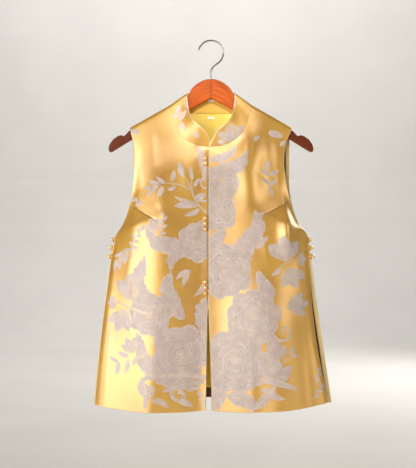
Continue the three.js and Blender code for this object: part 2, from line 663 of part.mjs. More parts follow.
add('front_right', frontPanel(rightFrontAt, true), cloth);
add('front_left', frontPanel(leftFrontAt, false), cloth);
add('back', backPanel(), cloth);
add('back_lining', backLining(), satin);
add('collar', collar(), cloth);
add('neck_tab', label(NECK_TAB), white);
add('collar_label', label(COLLAR_LABEL), white);

// Front fastenings: a ball on the lower front, and a loop from the edge of the upper front.
for (const { name, firstZ, pitch } of FRONT_GROUPS) {
  for (let i = 0; i < BALLS_IN_A_GROUP; i += 1) {
    const z = firstZ - i * pitch;
    const seat = findOnFront(rightFrontAt, FRONT_BALL_X, z);
    const above = findOnFront(rightFrontAt, FRONT_BALL_X, z + BALL_RADIUS);
    const below = findOnFront(rightFrontAt, FRONT_BALL_X, z - BALL_RADIUS);
    const up = new THREE.Vector3().subVectors(above, below).setX(0).normalize();
    const across = new THREE.Vector3(1, 0, 0);
    const outward = new THREE.Vector3().crossVectors(across, up);
    const centre = seat.clone().addScaledVector(outward, BALL_RADIUS + BALL_SEAT);
    const edge = findOnFront(leftFrontAt, FRONT_BALL_X, z).x;
    const reach = edge - SEAM_GAP - centre.x;
    add(`${name}_ball_${i + 1}`, ball(centre), brass);
    const loop = buttonLoop(centre, across, up, outward, reach, 0);
    add(`${name}_loop_${i + 1}`, loop, cord);
  }
}

// Side fastenings: a ball on the edge of the back, and a loop from the edge of the front.
for (const [name, side, front] of [['right_side', -1, rightFrontAt], ['left_side', 1, leftFrontAt]]) {
  for (let i = 0; i < BALLS_IN_A_GROUP; i += 1) {
    const z = SIDE_FIRST_Z - i * SIDE_PITCH;
    const edge = findOnFront(front, side * BEYOND_THE_SIDE, z);
    const backEdge = sideOfBack(side, z);
    const above = sideOfBack(side, z + BALL_RADIUS);
    const up = above.sub(sideOfBack(side, z - BALL_RADIUS)).setY(0).normalize();
    const outward = new THREE.Vector3(up.z, 0, -up.x).multiplyScalar(side);
    const backMiddle = backEdge.y - CLOTH / 2;
    const centre = backEdge.clone().setY(backMiddle).addScaledVector(outward, BALL_RADIUS + SIDE_BALL_SEAT);
    add(`${name}_ball_${i + 1}`, ball(centre), brass);
    const reach = backMiddle - (edge.y + CLOTH / 2);
    const drop = Math.abs(centre.x - edge.x) - BALL_RADIUS - SEAM_GAP + SIDE_LOOP_SINK;
    const loop = buttonLoop(centre, new THREE.Vector3(0, -1, 0), up, outward, reach, drop);
    add(`${name}_loop_${i + 1}`, loop, cord);
  }
}

add('hanger_body', hangerBody(), wood);
add('hanger_hook', hook(), steel);

export default group;
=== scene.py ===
import math
import bmesh
import bpy
import numpy as np
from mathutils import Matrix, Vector


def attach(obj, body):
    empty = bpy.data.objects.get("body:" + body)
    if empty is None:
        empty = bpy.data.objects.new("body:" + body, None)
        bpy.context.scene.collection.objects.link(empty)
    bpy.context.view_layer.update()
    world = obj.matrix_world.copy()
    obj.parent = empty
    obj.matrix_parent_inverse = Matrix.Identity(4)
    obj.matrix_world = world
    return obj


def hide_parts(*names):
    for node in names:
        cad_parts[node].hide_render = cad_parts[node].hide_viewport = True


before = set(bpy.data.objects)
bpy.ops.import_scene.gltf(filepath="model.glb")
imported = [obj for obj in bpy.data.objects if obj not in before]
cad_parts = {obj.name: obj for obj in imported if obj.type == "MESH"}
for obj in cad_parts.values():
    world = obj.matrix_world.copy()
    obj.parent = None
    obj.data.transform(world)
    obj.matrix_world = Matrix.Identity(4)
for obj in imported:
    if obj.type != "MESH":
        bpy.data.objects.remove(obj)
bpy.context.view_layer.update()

# The looks of the sleeveless jacket and its hanger. Lengths are in millimetres up to Builder.build: +X to the
# viewer's right, +Z up, +Y to the wall, and the origin inside the crown of the hook. A side is -1 for the
# wearer's right, on the viewer's left, and 1 for the other.
MM = 0.001

CLOTH = 1.5  # thickness of a panel
COLLAR_CLOTH = 2.1
SATIN = 0.8
RIDGE_RADIUS = 9.0  # outside of the shoulder where it turns over the hanger
COLLAR_RIDGE_RADIUS = 9.4
FRONT_LAP = 2.3
LAP_FROM_X = -40
LAP_RAMP = 22
PANEL_STEP = 1.4  # mesh spacing on the fronts
BACK_STEP = 2.0
COLLAR_STEP = 1.2
STRIDE = 3  # the inside of a cloth keeps every third row and column
STRAND_LAY = 8.0  # length in which a cord's strand winds round it once
SEAM_GAP = 0.5


def numbers(text):
    return np.array([line.split() for line in text.strip().splitlines()], float)


def table(columns, text):
    return dict(zip(columns.split(), numbers(text).T))


# Sections of the fronts, from the shoulder ridge to the hem. Both have the same depths.
FRONT_DEPTHS = table("inner_y middle_y outer_y sag", """
0 0 0 0
-9 -9 -9 0
-10.8 -10.7 -9.8 0
-12.5 -12.5 -10 0
-17 -15 -10 0
-20 -17 -10.2 0
-22 -19 -10.4 0
-23.5 -21 -10.6 0
-24.5 -23.5 -10.6 0
-26 -27 -10.5 0
-27.5 -31 -10 0
-31 -36 -8 0
-35 -41 -6 0
-38 -45 -4.2 0
-41 -48 -3.4 0
-42 -48 -4 0
-43 -47 -8 1
-43.5 -46 -9 2
-44.5 -46 -11 3
-45.5 -47 -13 4
-46 -48 -14 5
""")
FRONT_OUTLINE = "inner_x inner_z outer_x outer_z"
FRONTS = {
    -1: {**FRONT_DEPTHS, **table(FRONT_OUTLINE, """
-85.1 -131.4 -165.6 -176.7
-81.8 -140.9 -163.3 -186
-77.9 -152.3 -159.2 -203
-73.8 -165.8 -155.7 -217.5
-67.1 -185 -155 -243
-58.8 -197 -155.5 -258
-48.7 -206 -156.4 -271
-36.5 -212.3 -157.5 -285
-22.6 -216.6 -159.1 -300
-3.6 -220.4 -161.5 -315.5
1 -241.3 -164.8 -331.2
2.5 -269.9 -172.8 -358.2
2.5 -298.3 -182.7 -380.1
2.5 -326.6 -192.7 -395
2.5 -376.9 -198.5 -419.6
2.5 -427.1 -204.6 -448.2
2.5 -507.3 -212.4 -513.4
-6.8 -557.4 -218.8 -558.3
-8.4 -617.5 -225.3 -617.2
-9.6 -677.5 -230.8 -674
-11.2 -748.9 -236.8 -742.1
""")},
    1: {**FRONT_DEPTHS, **table(FRONT_OUTLINE, """
85.1 -131.4 165 -176.7
82 -140.9 162.5 -186
79 -152.3 155.5 -201
74.5 -165.8 151.5 -214.5
66.3 -184.6 149 -236
58 -195.5 148.5 -252.2
47.6 -205 149.7 -268.6
35.4 -211.9 151.5 -282.8
21.2 -216.8 153.7 -297.1
-2.6 -221 157.2 -311.4
-4.6 -241.3 161.7 -329.7
-5.5 -269.9 169.4 -354.6
-5.5 -298.3 180.5 -376
-5.5 -326.6 194.3 -393
-5.5 -376.9 198.9 -419.6
-5.5 -427.1 200.5 -448.2
-5.5 -507.3 204.2 -511.4
-4.3 -557.4 208.7 -558.3
-2.1 -617.5 216.1 -617.2
-0.1 -677.5 226 -674
1.9 -748.5 238.9 -738
""")},
}
LAST_FRONT_ROW = 20
NECK_ROW = 9  # the last front section that starts on the neck seam

BACK = table("inner_x inner_z right_x left_x outer_z inner_y middle_y outer_y", """
85.1 -131.4 -165.6 165 -176.7 0 0 0
80 -138.5 -165 164.5 -186 9 9 9
62 -144 -161.5 161.5 -200 10.5 10 9.3
32 -147.3 -159.5 160.8 -216 12.5 11.5 9.3
0 -148.6 -158.5 160.6 -236 13.5 12.5 9.3
0 -185 -158.5 160.6 -268 15 14 9.3
0 -235 -160.5 161.5 -305 18 17 9.3
0 -290 -169 170 -348 21 20 7.5
0 -340 -183 184 -381 23 22 5
0 -385 -195.5 197.5 -398 24 23 3.4
0 -430 -203.5 204 -435 24 22 2.6
0 -520 -215.5 214.5 -520 21 20 4
0 -620 -228 229.5 -622 19 19 5
0 -730.4 -240 247 -740.5 17 19 5
""")
LAST_BACK_ROW = 13
BACK_NECK_ROW = 4
BACKS = {side: {**BACK, "inner_x": side * BACK["inner_x"], "outer_x": BACK[outer], "sag": 0 * BACK["inner_x"]}
         for side, outer in ((-1, "right_x"), (1, "left_x"))}

# The collar's top edge beside the sections of the fronts and of the back.
COLLAR_FRONT = table("row top_x top_z top_y", """
9 3.6 -211 -28
8.5 7.4 -198 -35
8 14.6 -186.2 -41
7 23.2 -179.2 -43
6 30.6 -172.7 -41
5 37.6 -165.3 -36
4 42.9 -155.5 -28
3 46.8 -139.6 -18
2 49 -123 -11.5
1 49.6 -114 -9.4
""")
COLLAR_LEFT_END = -2.4
COLLAR_RIDGE_TOP = (50.0, -106.5)
COLLAR_BACK = table("row top_x top_z top_y", """
1 48.6 -106.5 9.4
1.5 46.5 -104 11.6
2 40 -102 12.8
2.5 32 -100.8 13.5
3 22 -100 13.9
3.5 11 -99.5 14.1
4 0 -99.4 14.2
""")

# Soft folds, and lighter ones that only show in the cloth's sheen: x and z of the top and the bottom, width,
# height, and the shares of the way along over which a fold swells and fades.
FRONT_FOLDS = numbers("""
-112 -520 -129 -770 24 9 0.8 0
-150 -560 -172 -770 26 -6 0.8 0
-190 -500 -212 -770 22 5 0.8 0
-34 -560 -42 -770 26 -7 0.8 0
45 -480 56 -770 24 8 0.8 0
96 -520 108 -770 26 -6 0.8 0
140 -500 172 -770 28 6 0.8 0
176 -470 212 -770 20 -4 0.8 0
-104 -250 -100 -390 16 3 0.5 0.5
66 -150 60 -330 20 4 0.4 0.4
102 -230 98 -370 18 -4 0.5 0.5
140 -300 150 -470 22 4 0.5 0.5
""")
BROAD_FOLDS = numbers("""
-150 -560 -172 -770 26 5.5 0.8 0
-190 -500 -212 -770 22 -4.5 0.8 0
-112 -520 -129 -770 24 -4 0.8 0
-188 -380 -200 -770 30 -2 0.4 0
-155 -300 -158 -450 20 6 0.5 0.4
48 -480 58 -770 26 -6 0.8 0
-124 -180 -134 -760 42 4 0.35 0
-98 -220 -104 -760 44 6 0.3 0
148 -560 172 -770 26 -4 0.6 0
-38 -560 -42 -770 28 8 0.8 0
112 -430 116 -770 62 20 0.5 0
88 -160 84 -370 30 11 0.4 0.4
118 -220 118 -360 18 -4 0.3 0.5
154 -300 156 -470 15 14 0.4 0.5
""")
LIGHT_FOLDS = numbers("""
-108 -330 -104 -372 6 -0.9 0.4 0.6
-96 -340 -92 -400 7 0.9 0.4 0.5
-140 -200 -138 -320 9 1 0.3 0.4
-120 -180 -112 -300 8 -0.9 0.3 0.4
-150 -380 -176 -520 8 1.2 0.3 0.5
-136 -390 -150 -500 7 -1 0.3 0.5
-84 -560 -92 -760 10 1 0.6 0
-200 -560 -218 -760 7 1 0.5 0
-60 -240 -44 -330 8 0.9 0.4 0.5
40 -240 28 -360 9 1.2 0.4 0.5
84 -170 80 -260 8 -1.2 0.3 0.5
120 -190 124 -300 8 1.2 0.3 0.5
138 -210 136 -320 6 -0.8 0.3 0.4
96 -358 118 -470 8 1.3 0.3 0.5
168 -400 180 -520 8 1 0.3 0.5
24 -560 30 -760 9 1 0.6 0
78 -600 84 -760 9 1.2 0.6 0
190 -600 206 -760 9 2.2 0.6 0
""")
BACK_FOLDS = numbers("""
-178 -470 -206 -770 22 4 0.8 0
-126 -500 -142 -770 26 -5 0.8 0
-68 -480 -78 -770 28 6 0.8 0
-8 -540 -6 -770 24 -5 0.8 0
46 -500 54 -770 26 6 0.8 0
106 -520 120 -770 26 -5 0.8 0
164 -490 186 -770 26 5 0.8 0
""")
LIGHT_BACK_FOLDS = numbers("""
-110 -180 -90 -300 9 1.2 0.3 0.5
104 -180 84 -310 9 1.2 0.3 0.5
-140 -330 -120 -430 8 -1 0.4 0.5
142 -330 126 -440 8 1 0.4 0.5
-30 -200 -24 -330 9 1 0.4 0.5
34 -560 40 -760 9 1 0.6 0
-160 -560 -180 -760 9 1 0.6 0
""")
DARTS = numbers("""
-158 -340 -103 -371
160 -328 96 -361
""")  # start x and z, tip x and z
DART_DEPTH = 2
DART_WIDTH = 11
DART_STITCH_DEPTH = 1.1  # the sewn line itself
DART_STITCH_WIDTH = 1.7
EDGE_TURN = 4.0  # how far a front's side edge curls back, and over what share of its width
EDGE_TURN_SHARE = 0.05
EDGE_TURN_ROW = 13
CALM_SHARE = 0.12  # of a panel's width, over which its folds die out beside its outer edge
BROAD_SHARE = 0.25  # the same for the broad and the light folds beside a front's centre
LIGHT_SHARE = 0.04


def smooth(value):
    value = np.clip(value, 0, 1)
    return value ** 2 * (3 - 2 * value)


def bell(value, width):
    return np.exp(-((value / width) ** 2))


def unit(vectors):
    return vectors / np.maximum(np.linalg.norm(vectors, axis=-1, keepdims=True), 1e-9)


def running(points):
    """The length along a line at each of its points."""
    return np.concatenate([[0], np.cumsum(np.linalg.norm(np.diff(points, axis=0), axis=1))])


def each_axis(read, points):
    return np.stack([read(column) for column in points.T], axis=-1)


def curve(values, at):
    """A monotone cubic through a table's column, read at fractional rows."""
    values = np.asarray(values, float)
    steps = np.diff(values)
    before = np.concatenate([steps[:1], steps])
    after = np.concatenate([steps, steps[-1:]])
    product = before * after
    total = np.where(before + after == 0, 1, before + after)
    slopes = np.where(product <= 0, 0, 2 * product / total)
    i = np.clip(np.floor(at).astype(int), 0, len(values) - 2)
    t = at - i
    level = (1 + 2 * t) * (1 - t) ** 2 * values[i] + t ** 2 * (3 - 2 * t) * values[i + 1]
    return level + t * (1 - t) ** 2 * slopes[i] - t ** 2 * (1 - t) * slopes[i + 1]


def folds_at(folds, x, z):
    relief = np.zeros_like(x)
    for top_x, top_z, bottom_x, bottom_z, width, height, swell, fade in folds:
        along = (top_z - z) / (top_z - bottom_z)
        crest = top_x + (bottom_x - top_x) * along
        left = smooth((1 - along) / fade) if fade else 1
        relief += height * smooth(along / swell) * left * bell(x - crest, width)
    return relief


def dart_distance(dart, x, z):
    """Distance from a dart's line, and the share of the way along it."""
    run = dart[2:] - dart[:2]
    from_x, from_z = x - dart[0], z - dart[1]
    share = np.clip((from_x * run[0] + from_z * run[1]) / (run @ run), 0, 1)
    return np.hypot(from_x - share * run[0], from_z - share * run[1]), share


def darts_at(x, z):
    crease = np.zeros_like(x)
    for dart in DARTS:
        off, share = dart_distance(dart, x, z)
        crease += DART_DEPTH * (1 - share ** 2) * bell(off, DART_WIDTH)
        crease += DART_STITCH_DEPTH * (1 - share ** 4) * bell(off, DART_STITCH_WIDTH)
    return crease


def bow_across(inner, middle, outer, across):
    square = 8 * middle - 7 * inner - outer
    cube = 2 * outer + 6 * inner - 8 * middle
    return inner + square * across ** 2 + cube * across ** 3


def panel_points(rows, facing, folded, row, across):
    """Points on the outside of a panel, for arrays of fractional sections and shares across. Facing is -1 for
    a front and 1 for the back, and folded adds the folds to the depths."""
    row, across = np.broadcast_arrays(np.asarray(row, float), np.asarray(across, float))
    on_turn = row < 1
    least = 0.17 / RIDGE_RADIUS
    turn = least + (np.pi / 2 - least) * np.clip(row, 0, 1)
    place = np.where(on_turn, 1 - np.cos(turn), row)

    def read(name):
        straight = rows[name][0] + (rows[name][1] - rows[name][0]) * place
        return np.where(on_turn, straight, curve(rows[name], np.where(on_turn, 1.0, place)))

    x = read("inner_x") + (read("outer_x") - read("inner_x")) * across
    sag = read("sag") * (1 - np.abs(2 * across - 1) ** 3)
    z = read("inner_z") + (read("outer_z") - read("inner_z")) * across - sag
    bow = bow_across(read("inner_y"), read("middle_y"), read("outer_y"), across)
    y = np.where(on_turn, facing * RIDGE_RADIUS * np.sin(turn), folded(bow, x, z, row, across))
    return np.stack([x, y, z], axis=-1)


def front_points(side, row, across):
    def folded(bow, x, z, row, across):
        near_centre = smooth((x - LAP_FROM_X) / LAP_RAMP) * smooth(row - NECK_ROW + 2)
        behind = FRONT_LAP * near_centre if side < 0 else 0
        calm = smooth((1 - across) / CALM_SHARE)
        broad = folds_at(BROAD_FOLDS, x, z) * smooth(across / BROAD_SHARE)
        relief = folds_at(FRONT_FOLDS, x, z) + broad - darts_at(x, z)
        light = folds_at(LIGHT_FOLDS, x, z) * smooth(across / LIGHT_SHARE)
        beside = np.clip((across - 1) / EDGE_TURN_SHARE + 1, 0, 1)
        turned = EDGE_TURN * beside ** 2 * smooth(row - EDGE_TURN_ROW)
        return bow - smooth(row - 1) * (calm * relief + light) + behind + turned

    return panel_points(FRONTS[side], -1, folded, row, across)


def back_points(side, row, across):
    def folded(bow, x, z, row, across):
        broad = smooth((1 - across) / CALM_SHARE) * folds_at(BACK_FOLDS, x, z)
        return bow + (broad + folds_at(LIGHT_BACK_FOLDS, x, z) * smooth(row - 1))

    return panel_points(BACKS[side], 1, folded, row, across)


def even_rows(points_of, side, last_row, step):
    """Fractional sections whose points lie about a step apart down the middle of a panel."""
    rows = np.linspace(0, last_row, 1200)
    length = running(points_of(side, rows, 0.5))
    count = STRIDE * round(length[-1] / step / STRIDE) + 1
    return np.interp(np.linspace(0, length[-1], count), length, rows)


def grid_normals(points, outward_y):
    """Unit normals of a grid, turned so that the middle one points to +Y or -Y as asked."""
    normals = unit(np.cross(np.gradient(points, axis=0), np.gradient(points, axis=1)))
    middle = normals[points.shape[0] // 2, points.shape[1] // 2, 1]
    return normals if middle * outward_y > 0 else -normals


def edge_distances(points):
    """Each point's distance along its grid from the first and last row, then the first and last column."""
    down = np.cumsum(np.linalg.norm(np.diff(points, axis=0, prepend=points[:1]), axis=-1), axis=0)
    across = np.cumsum(np.linalg.norm(np.diff(points, axis=1, prepend=points[:, :1]), axis=-1), axis=1)
    return down, down[-1:] - down, across, across[:, -1:] - across


def add_object(name, data, place=(0, 0, 0)):
    made = bpy.data.objects.new(name, data)
    made.location = place
    bpy.context.scene.collection.objects.link(made)
    return made


class Builder:
    """Collects grids of points into one mesh, with values at its points."""

    def __init__(self):
        self.points, self.faces, self.slots, self.values = [], [], [], {}
        self.count = 0

    def add(self, points, faces, slot, values):
        for name in set(self.values) | set(values):
            kept = self.values.setdefault(name, [np.zeros(self.count)])
            kept.append(np.broadcast_to(values.get(name, 0.0), points.shape[:-1]).reshape(-1))
        self.points.append(points.reshape(-1, 3))
        self.faces.append(faces + self.count)
        self.slots.append(np.full(len(faces), slot))
        self.count += points.size // 3

    def grid(self, points, facing, slot=0, **values):
        """Adds a grid of rows and columns, its faces turned the way the given directions point."""
        rows, columns = points.shape[:2]
        index = np.arange(rows * columns).reshape(rows, columns)
        sides = [index[:-1, :-1], index[1:, :-1], index[1:, 1:], index[:-1, 1:]]
        faces = np.stack(sides, axis=-1).reshape(-1, 4)
        r, c = min(rows // 2, rows - 2), min(columns // 2, columns - 2)
        face = np.cross(points[r + 1, c] - points[r, c], points[r, c + 1] - points[r, c])
        if face @ facing[r, c] < 0:
            faces = faces[:, ::-1]
        self.add(points, faces, slot, values)

    def close_strip(self, border, slot, inside):
        """Closes the hairline between a fine border and the coarser one of the inside."""
        starts = np.arange(0, len(border) - 1, STRIDE)
        faces = starts[:, None] + np.arange(STRIDE + 1)
        self.add(border, faces, slot, {"inside": inside})

    def shell(self, points, normals, thickness, rims, inner_slot, inside=0.0, **values):
        """A cloth of even thickness under a grid, with a rolled edge on each border named in rims. Inside is
        a value for the material of the inner face."""
        self.grid(points, normals, 0, **values)
        inner = points - normals * thickness
        beneath = np.broadcast_to(inside, points.shape[:2])[::STRIDE, ::STRIDE]
        self.grid(inner[::STRIDE, ::STRIDE], -normals[::STRIDE, ::STRIDE], inner_slot, inside=beneath)
        values = {**values, "inside": inside}
        borders = {
            "top": (np.s_[0], np.s_[1]),
            "bottom": (np.s_[-1], np.s_[-2]),
            "start": (np.s_[:, 0], np.s_[:, 1]),
            "end": (np.s_[:, -1], np.s_[:, -2]),
        }
        for name, bulge in rims.items():
            edge, beside = borders[name]
            out = unit(np.cross(np.gradient(points[edge], axis=0), normals[edge]))
            out *= np.sign(np.sum(out * (points[edge] - points[beside]), axis=1, keepdims=True))
            rings = []
            for turn in np.linspace(0, np.pi, 7):
                drop = normals[edge] * (1 - math.cos(turn)) / 2
                rings.append(points[edge] + thickness * (out * bulge * math.sin(turn) - drop))
            ring = np.stack(rings)
            rolled = {key: np.broadcast_to(value, points.shape[:2])[edge] for key, value in values.items()}
            self.grid(ring, np.broadcast_to(out, ring.shape), 0, **rolled)
            self.close_strip(inner[edge], inner_slot, rolled["inside"])

    def tube(self, path, radius, sides, strands=0):
        """A round bar along a path, with rounded ends. Strands are ridges that wind round it."""
        path = np.asarray(path, float)
        along = unit(np.gradient(path, axis=0))
        side = np.cross(along[0], [0.3, 0.9, 0.2])
        first = []
        for direction in along:
            side = unit(side - direction * (side @ direction))
            first.append(side)
        first = np.array(first)
        second = np.cross(along, first)
        turns = np.linspace(0, 2 * np.pi, sides + 1)
        size = np.full((len(path), sides + 1), float(radius))
        if strands:
            wound = strands * (turns[None] - 2 * np.pi * running(path)[:, None] / STRAND_LAY)
            size *= 1 - 0.16 * np.sin(wound / 2) ** 8
        spread = first[:, None] * (size * np.cos(turns))[..., None]
        ring = path[:, None] + spread + second[:, None] * (size * np.sin(turns))[..., None]
        caps = []
        for end, way in ((0, -1), (-1, 1)):
            cap = []
            for tilt in np.linspace(0, np.pi / 2, 5):
                reach = along[end] * way * radius * math.sin(tilt) * 0.8
                cap.append(path[end] + reach + (ring[end] - path[end]) * max(math.cos(tilt), 0.02))
            caps.append(np.array(cap))
        whole = np.concatenate([caps[0][:0:-1], ring, caps[1][1:]])
        middle = np.concatenate([np.repeat(path[:1], 4, axis=0), path, np.repeat(path[-1:], 4, axis=0)])
        self.grid(whole, whole - middle[:, None])

    def build(self, name, node, materials):
        mesh = bpy.data.meshes.new(name)
        mesh.from_pydata(np.concatenate(self.points) * MM, [], np.concatenate(self.faces))
        mesh.polygons.foreach_set("material_index", np.concatenate(self.slots).astype(np.int32))
        for key, parts in self.values.items():
            attribute = mesh.attributes.new(key, "FLOAT", "POINT")
            attribute.data.foreach_set("value", np.concatenate(parts).astype(np.float32))
        work = bmesh.new()
        work.from_mesh(mesh)
        bmesh.ops.remove_doubles(work, verts=work.verts, dist=0.02 * MM)
        for face in work.faces:
            face.smooth = True
        work.to_mesh(mesh)
        work.free()
        for material in materials:
            mesh.materials.append(material)
        piece = add_object(name, mesh)
        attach(piece, "root")
        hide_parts(node)
        return piece


# Woven pattern: silver motifs on the gold ground, kept as each point's distance inside a motif's outline.
GAP = 1.1  # gold line round a motif that lies on others
HATCH_PERIOD = 3.1
PEONY_RINGS = [(1.0, 9), (0.76, 8), (0.53, 6), (0.3, 4)]  # share of the radius, and number of petals
PETAL = np.array([0.4, 0.55, 0.7, 0.84, 0.95, 1.02, 1.04, 0.98, 0.74])  # its half width from foot to tip
LOBES = 3  # of a vine leaf


class Pattern:
    def __init__(self, x, z):
        self.shape = x.shape
        x, z = x.ravel(), z.ravel()
        self.places = np.stack([x, z], axis=1)
        self.silver = np.full(x.size, -4.0)
        self.hatch = np.zeros(x.size)
        self.hatched = np.zeros(x.size)
        self.drift = np.sin(x / 5.1 + 1.7 * np.sin(z / 11)) * np.sin(z / 4.3 + 1.3 * np.sin(x / 9))

    def values(self):
        return {name: getattr(self, name).reshape(self.shape) for name in ("silver", "hatch", "hatched")}

    def stroke(self, spine, half, hatched=0.0, lean=0.8, rib=0.0, barbs=0.0, barb=8.0, gap=GAP, cuts=False):
        """One shape round a spine. Half is its half width along the spine, rib a gold line down its middle,
        and barbs the depth of the slanting cuts into its sides."""
        reach = half.max() + gap + 3
        low, high = spine.min(axis=0) - reach, spine.max(axis=0) + reach
        near = np.flatnonzero(((self.places > low) & (self.places < high)).all(axis=1))
        if not len(near):
            return
        place = self.places[near]
        run = np.diff(spine, axis=0)
        length = np.maximum(np.hypot(run[:, 0], run[:, 1]), 1e-6)
        start = np.concatenate([[0], np.cumsum(length)[:-1]])
        rel = place[:, None] - spine[None, :-1]
        share = np.clip((rel * run).sum(axis=2) / length ** 2, 0, 1)
        off = rel - share[..., None] * run
        far = np.hypot(off[..., 0], off[..., 1])
        width = half[:-1] + (half[1:] - half[:-1]) * share
        best = (width - far).argmax(axis=1)
        pick = (np.arange(len(near)), best)
        along = start[best] + share[pick] * length[best]
        aside = far[pick]
        depth = width[pick] - aside + 0.5 * self.drift[near] * min(half.max() / 6, 1.4)
        slant = along - lean * aside
        total = length.sum()
        if barbs:
            cut = np.abs((slant / barb) % 1 - 0.5) * 2
            depth = depth - barbs * np.clip(cut - 0.55, 0, 1) / 0.45 * np.clip(aside / 3, 0, 1)
        if rib:
            depth = np.where(along < total * 0.9, np.minimum(depth, aside - rib), depth)
        shaded = hatched * smooth((depth - 0.8) / 1.8)
        self.lay(near, depth, gap, slant / (HATCH_PERIOD * math.hypot(1, lean)), shaded, cuts)

    def lay(self, near, depth, gap, wave, hatched, cuts=False):
        """Sets one shape over those before it, with a gold line round it, or cuts it out of them."""
        held = self.silver[near]
        if cuts:
            self.silver[near] = np.minimum(held, -depth)
            return
        kept = np.minimum(held, -(depth + gap))
        mine = (depth > kept) & (depth > -1)
        self.silver[near] = np.clip(np.maximum(kept, depth), -4, 4)
        self.hatch[near] = np.where(mine, wave + 0.9 * self.drift[near], self.hatch[near])
        self.hatched[near] = np.where(mine, hatched, self.hatched[near])

    def draw(self, kind, x, z, tip_x, tip_z, bend=0, width=0):
        root, tip = np.array([x, z], float), np.array([tip_x, tip_z], float)
        t = np.linspace(0, 1, 17)
        span = tip - root
        aside = np.array([-span[1], span[0]]) / max(np.hypot(*span), 1e-6)
        spine = root + span * t[:, None] + aside * (4 * bend * t * (1 - t))[:, None]
        blade = np.sin(np.pi * t ** 0.8) ** 0.8
        if kind == "leaf":
            self.stroke(spine, width / 2 * blade, rib=0.45 if width > 8.5 else 0)
        elif kind == "feather":
            self.stroke(spine, width / 2 * blade, hatched=0.85, rib=0.5, barbs=width * 0.12, barb=9)
        elif kind == "stem":
            self.stroke(spine, width / 2 * (1 - 0.55 * t))
        elif kind == "curl":
            self.curl(root, tip, bend, width)
        elif kind == "lobed":
            self.lobed(root, tip, math.radians(width))
        elif kind == "plume":
            self.plume(spine, width)
        elif kind == "peony":
            self.peony(root, tip)
        elif kind == "spray":
            self.spray(spine, width)

    def curl(self, root, tip, bend, width):
        """A scroll that winds in round its tip."""
        from_tip = root - tip
        radius = np.hypot(*from_tip)
        t = np.linspace(0, 1, 33)
        angle = math.atan2(from_tip[1], from_tip[0]) + math.copysign(1, bend) * t * 2.3 * math.pi
        size = radius * (0.16 + 0.84 * (1 - t) ** 1.4)
        spine = tip + np.stack([size * np.cos(angle), size * np.sin(angle)], axis=1)
        self.stroke(spine, width / 2 * (1 - 0.35 * t), hatched=0.7 if width > 7 else 0, lean=1.5, gap=0.7)

    def plume(self, spine, width):
        """A long feathered leaf with a tip that curls over and a fringed outline."""
        t = np.linspace(0, 1, len(spine))
        way = spine[-1] - spine[-3]
        aside = np.array([-way[1], way[0]])
        turn = np.sign(np.cross(spine[-1] - spine[0], spine[8] - spine[0])) or 1
        spine = spine + smooth((t - 0.65) / 0.35)[:, None] * aside * turn * -1.3
        broad = np.sin(np.pi * (0.1 + 0.9 * t) ** 0.95) ** 0.7
        self.stroke(spine, width / 2 * broad, hatched=0.6, lean=1.6, barbs=5.5, barb=15, gap=0.8)
        self.stroke(spine[:14], 0.5 * (1.3 - t[:14]), cuts=True)

    def peony(self, centre, tip):
        """A full blossom of petals in rings, the outer ones drawn first."""
        radius = np.hypot(*(tip - centre))
        start = math.atan2(*(tip - centre)[::-1])
        for ring, (scale, petals) in enumerate(PEONY_RINGS):
            size = radius * scale
            half = size * math.sin(math.pi / petals) * 1.12
            for i in range(petals):
                angle = start + 2 * math.pi * (i + 0.5 * (ring % 2)) / petals
                way = np.array([math.cos(angle), math.sin(angle)])
                reach = size * (1 + 0.07 * math.sin(3 * i + ring))
                end = max(reach - half * 0.72, reach * 0.3)
                spine = centre + way * np.linspace(0.12 * size, end, len(PETAL))[:, None]
                self.stroke(spine, half * PETAL, hatched=0.75, lean=3.0, barbs=2.4, barb=9, gap=0.45)
        self.stroke(np.array([centre, centre + [0.5, 0.5]]), np.full(2, radius * 0.1))

    def lobed(self, root, tip, spread):
        """A vine leaf that fans out from its foot: pointed, toothed lobes with a gold vein in each."""
        span = tip - root
        length = np.hypot(*span)
        near = np.flatnonzero(np.hypot(*(self.places - root).T) < length * 1.1 + 4)
        if not len(near):
            return
        dx, dz = (self.places[near] - root).T
        far = np.hypot(dx, dz) + 1e-6
        angle = np.arctan2(span[0] * dz - span[1] * dx, span[0] * dx + span[1] * dz)
        side = np.clip(angle / spread, -1.0, 1.0)
        place = np.clip((side + 1) / 2 * LOBES - 0.5, -0.5, LOBES - 0.5)
        middle = np.clip(np.round(place), 0, LOBES - 1)
        notch = 2 * np.abs(place - middle)
        teeth = 0.05 * np.abs((notch * 2.5 + 0.5) % 1 - 0.5)
        reach = length * (1 - 0.26 * notch ** 1.1 + teeth) * (1 - 0.22 * side ** 2)
        flank = far * np.sin(np.clip(spread - np.abs(angle), -1.5, 1.5))
        depth = np.minimum(0.9 * (reach - far), flank) + 0.25 * self.drift[near]
        vein = np.abs(place - middle) * (2 * spread / LOBES) * far
        self.lay(near, depth, GAP, (far - 1.5 * vein) / 5.0, 0.3)
        self.lay(near, 0.5 - vein + np.where(far > 0.8 * reach, -4.0, 0.0), 0, 0, 0, cuts=True)

    def spray(self, spine, width):
        """A stem with leaves set alternately along it and one at its end."""
        count = max(2, round(np.hypot(*(spine[-1] - spine[0])) / (width * 0.62)))
        share = np.linspace(0, 1, len(spine))
        self.stroke(spine, 1.2 * (1 - 0.4 * share))
        for i in range(count + 1):
            t = (i + 0.7) / (count + 0.7)
            foot, before = (each_axis(lambda c: np.interp(at, share, c), spine) for at in (t, t - 0.1))
            heading = math.atan2(*(foot - before)[::-1])
            angle = heading + (0 if i == count else (0.85 if i % 2 else -0.85))
            reach = width * (0.8 if i % 3 else 1.0)
            end = foot + reach * np.array([math.cos(angle), math.sin(angle)])
            self.draw("leaf", *foot, *end, 0.06 * reach * (-1) ** i, width * 0.5)


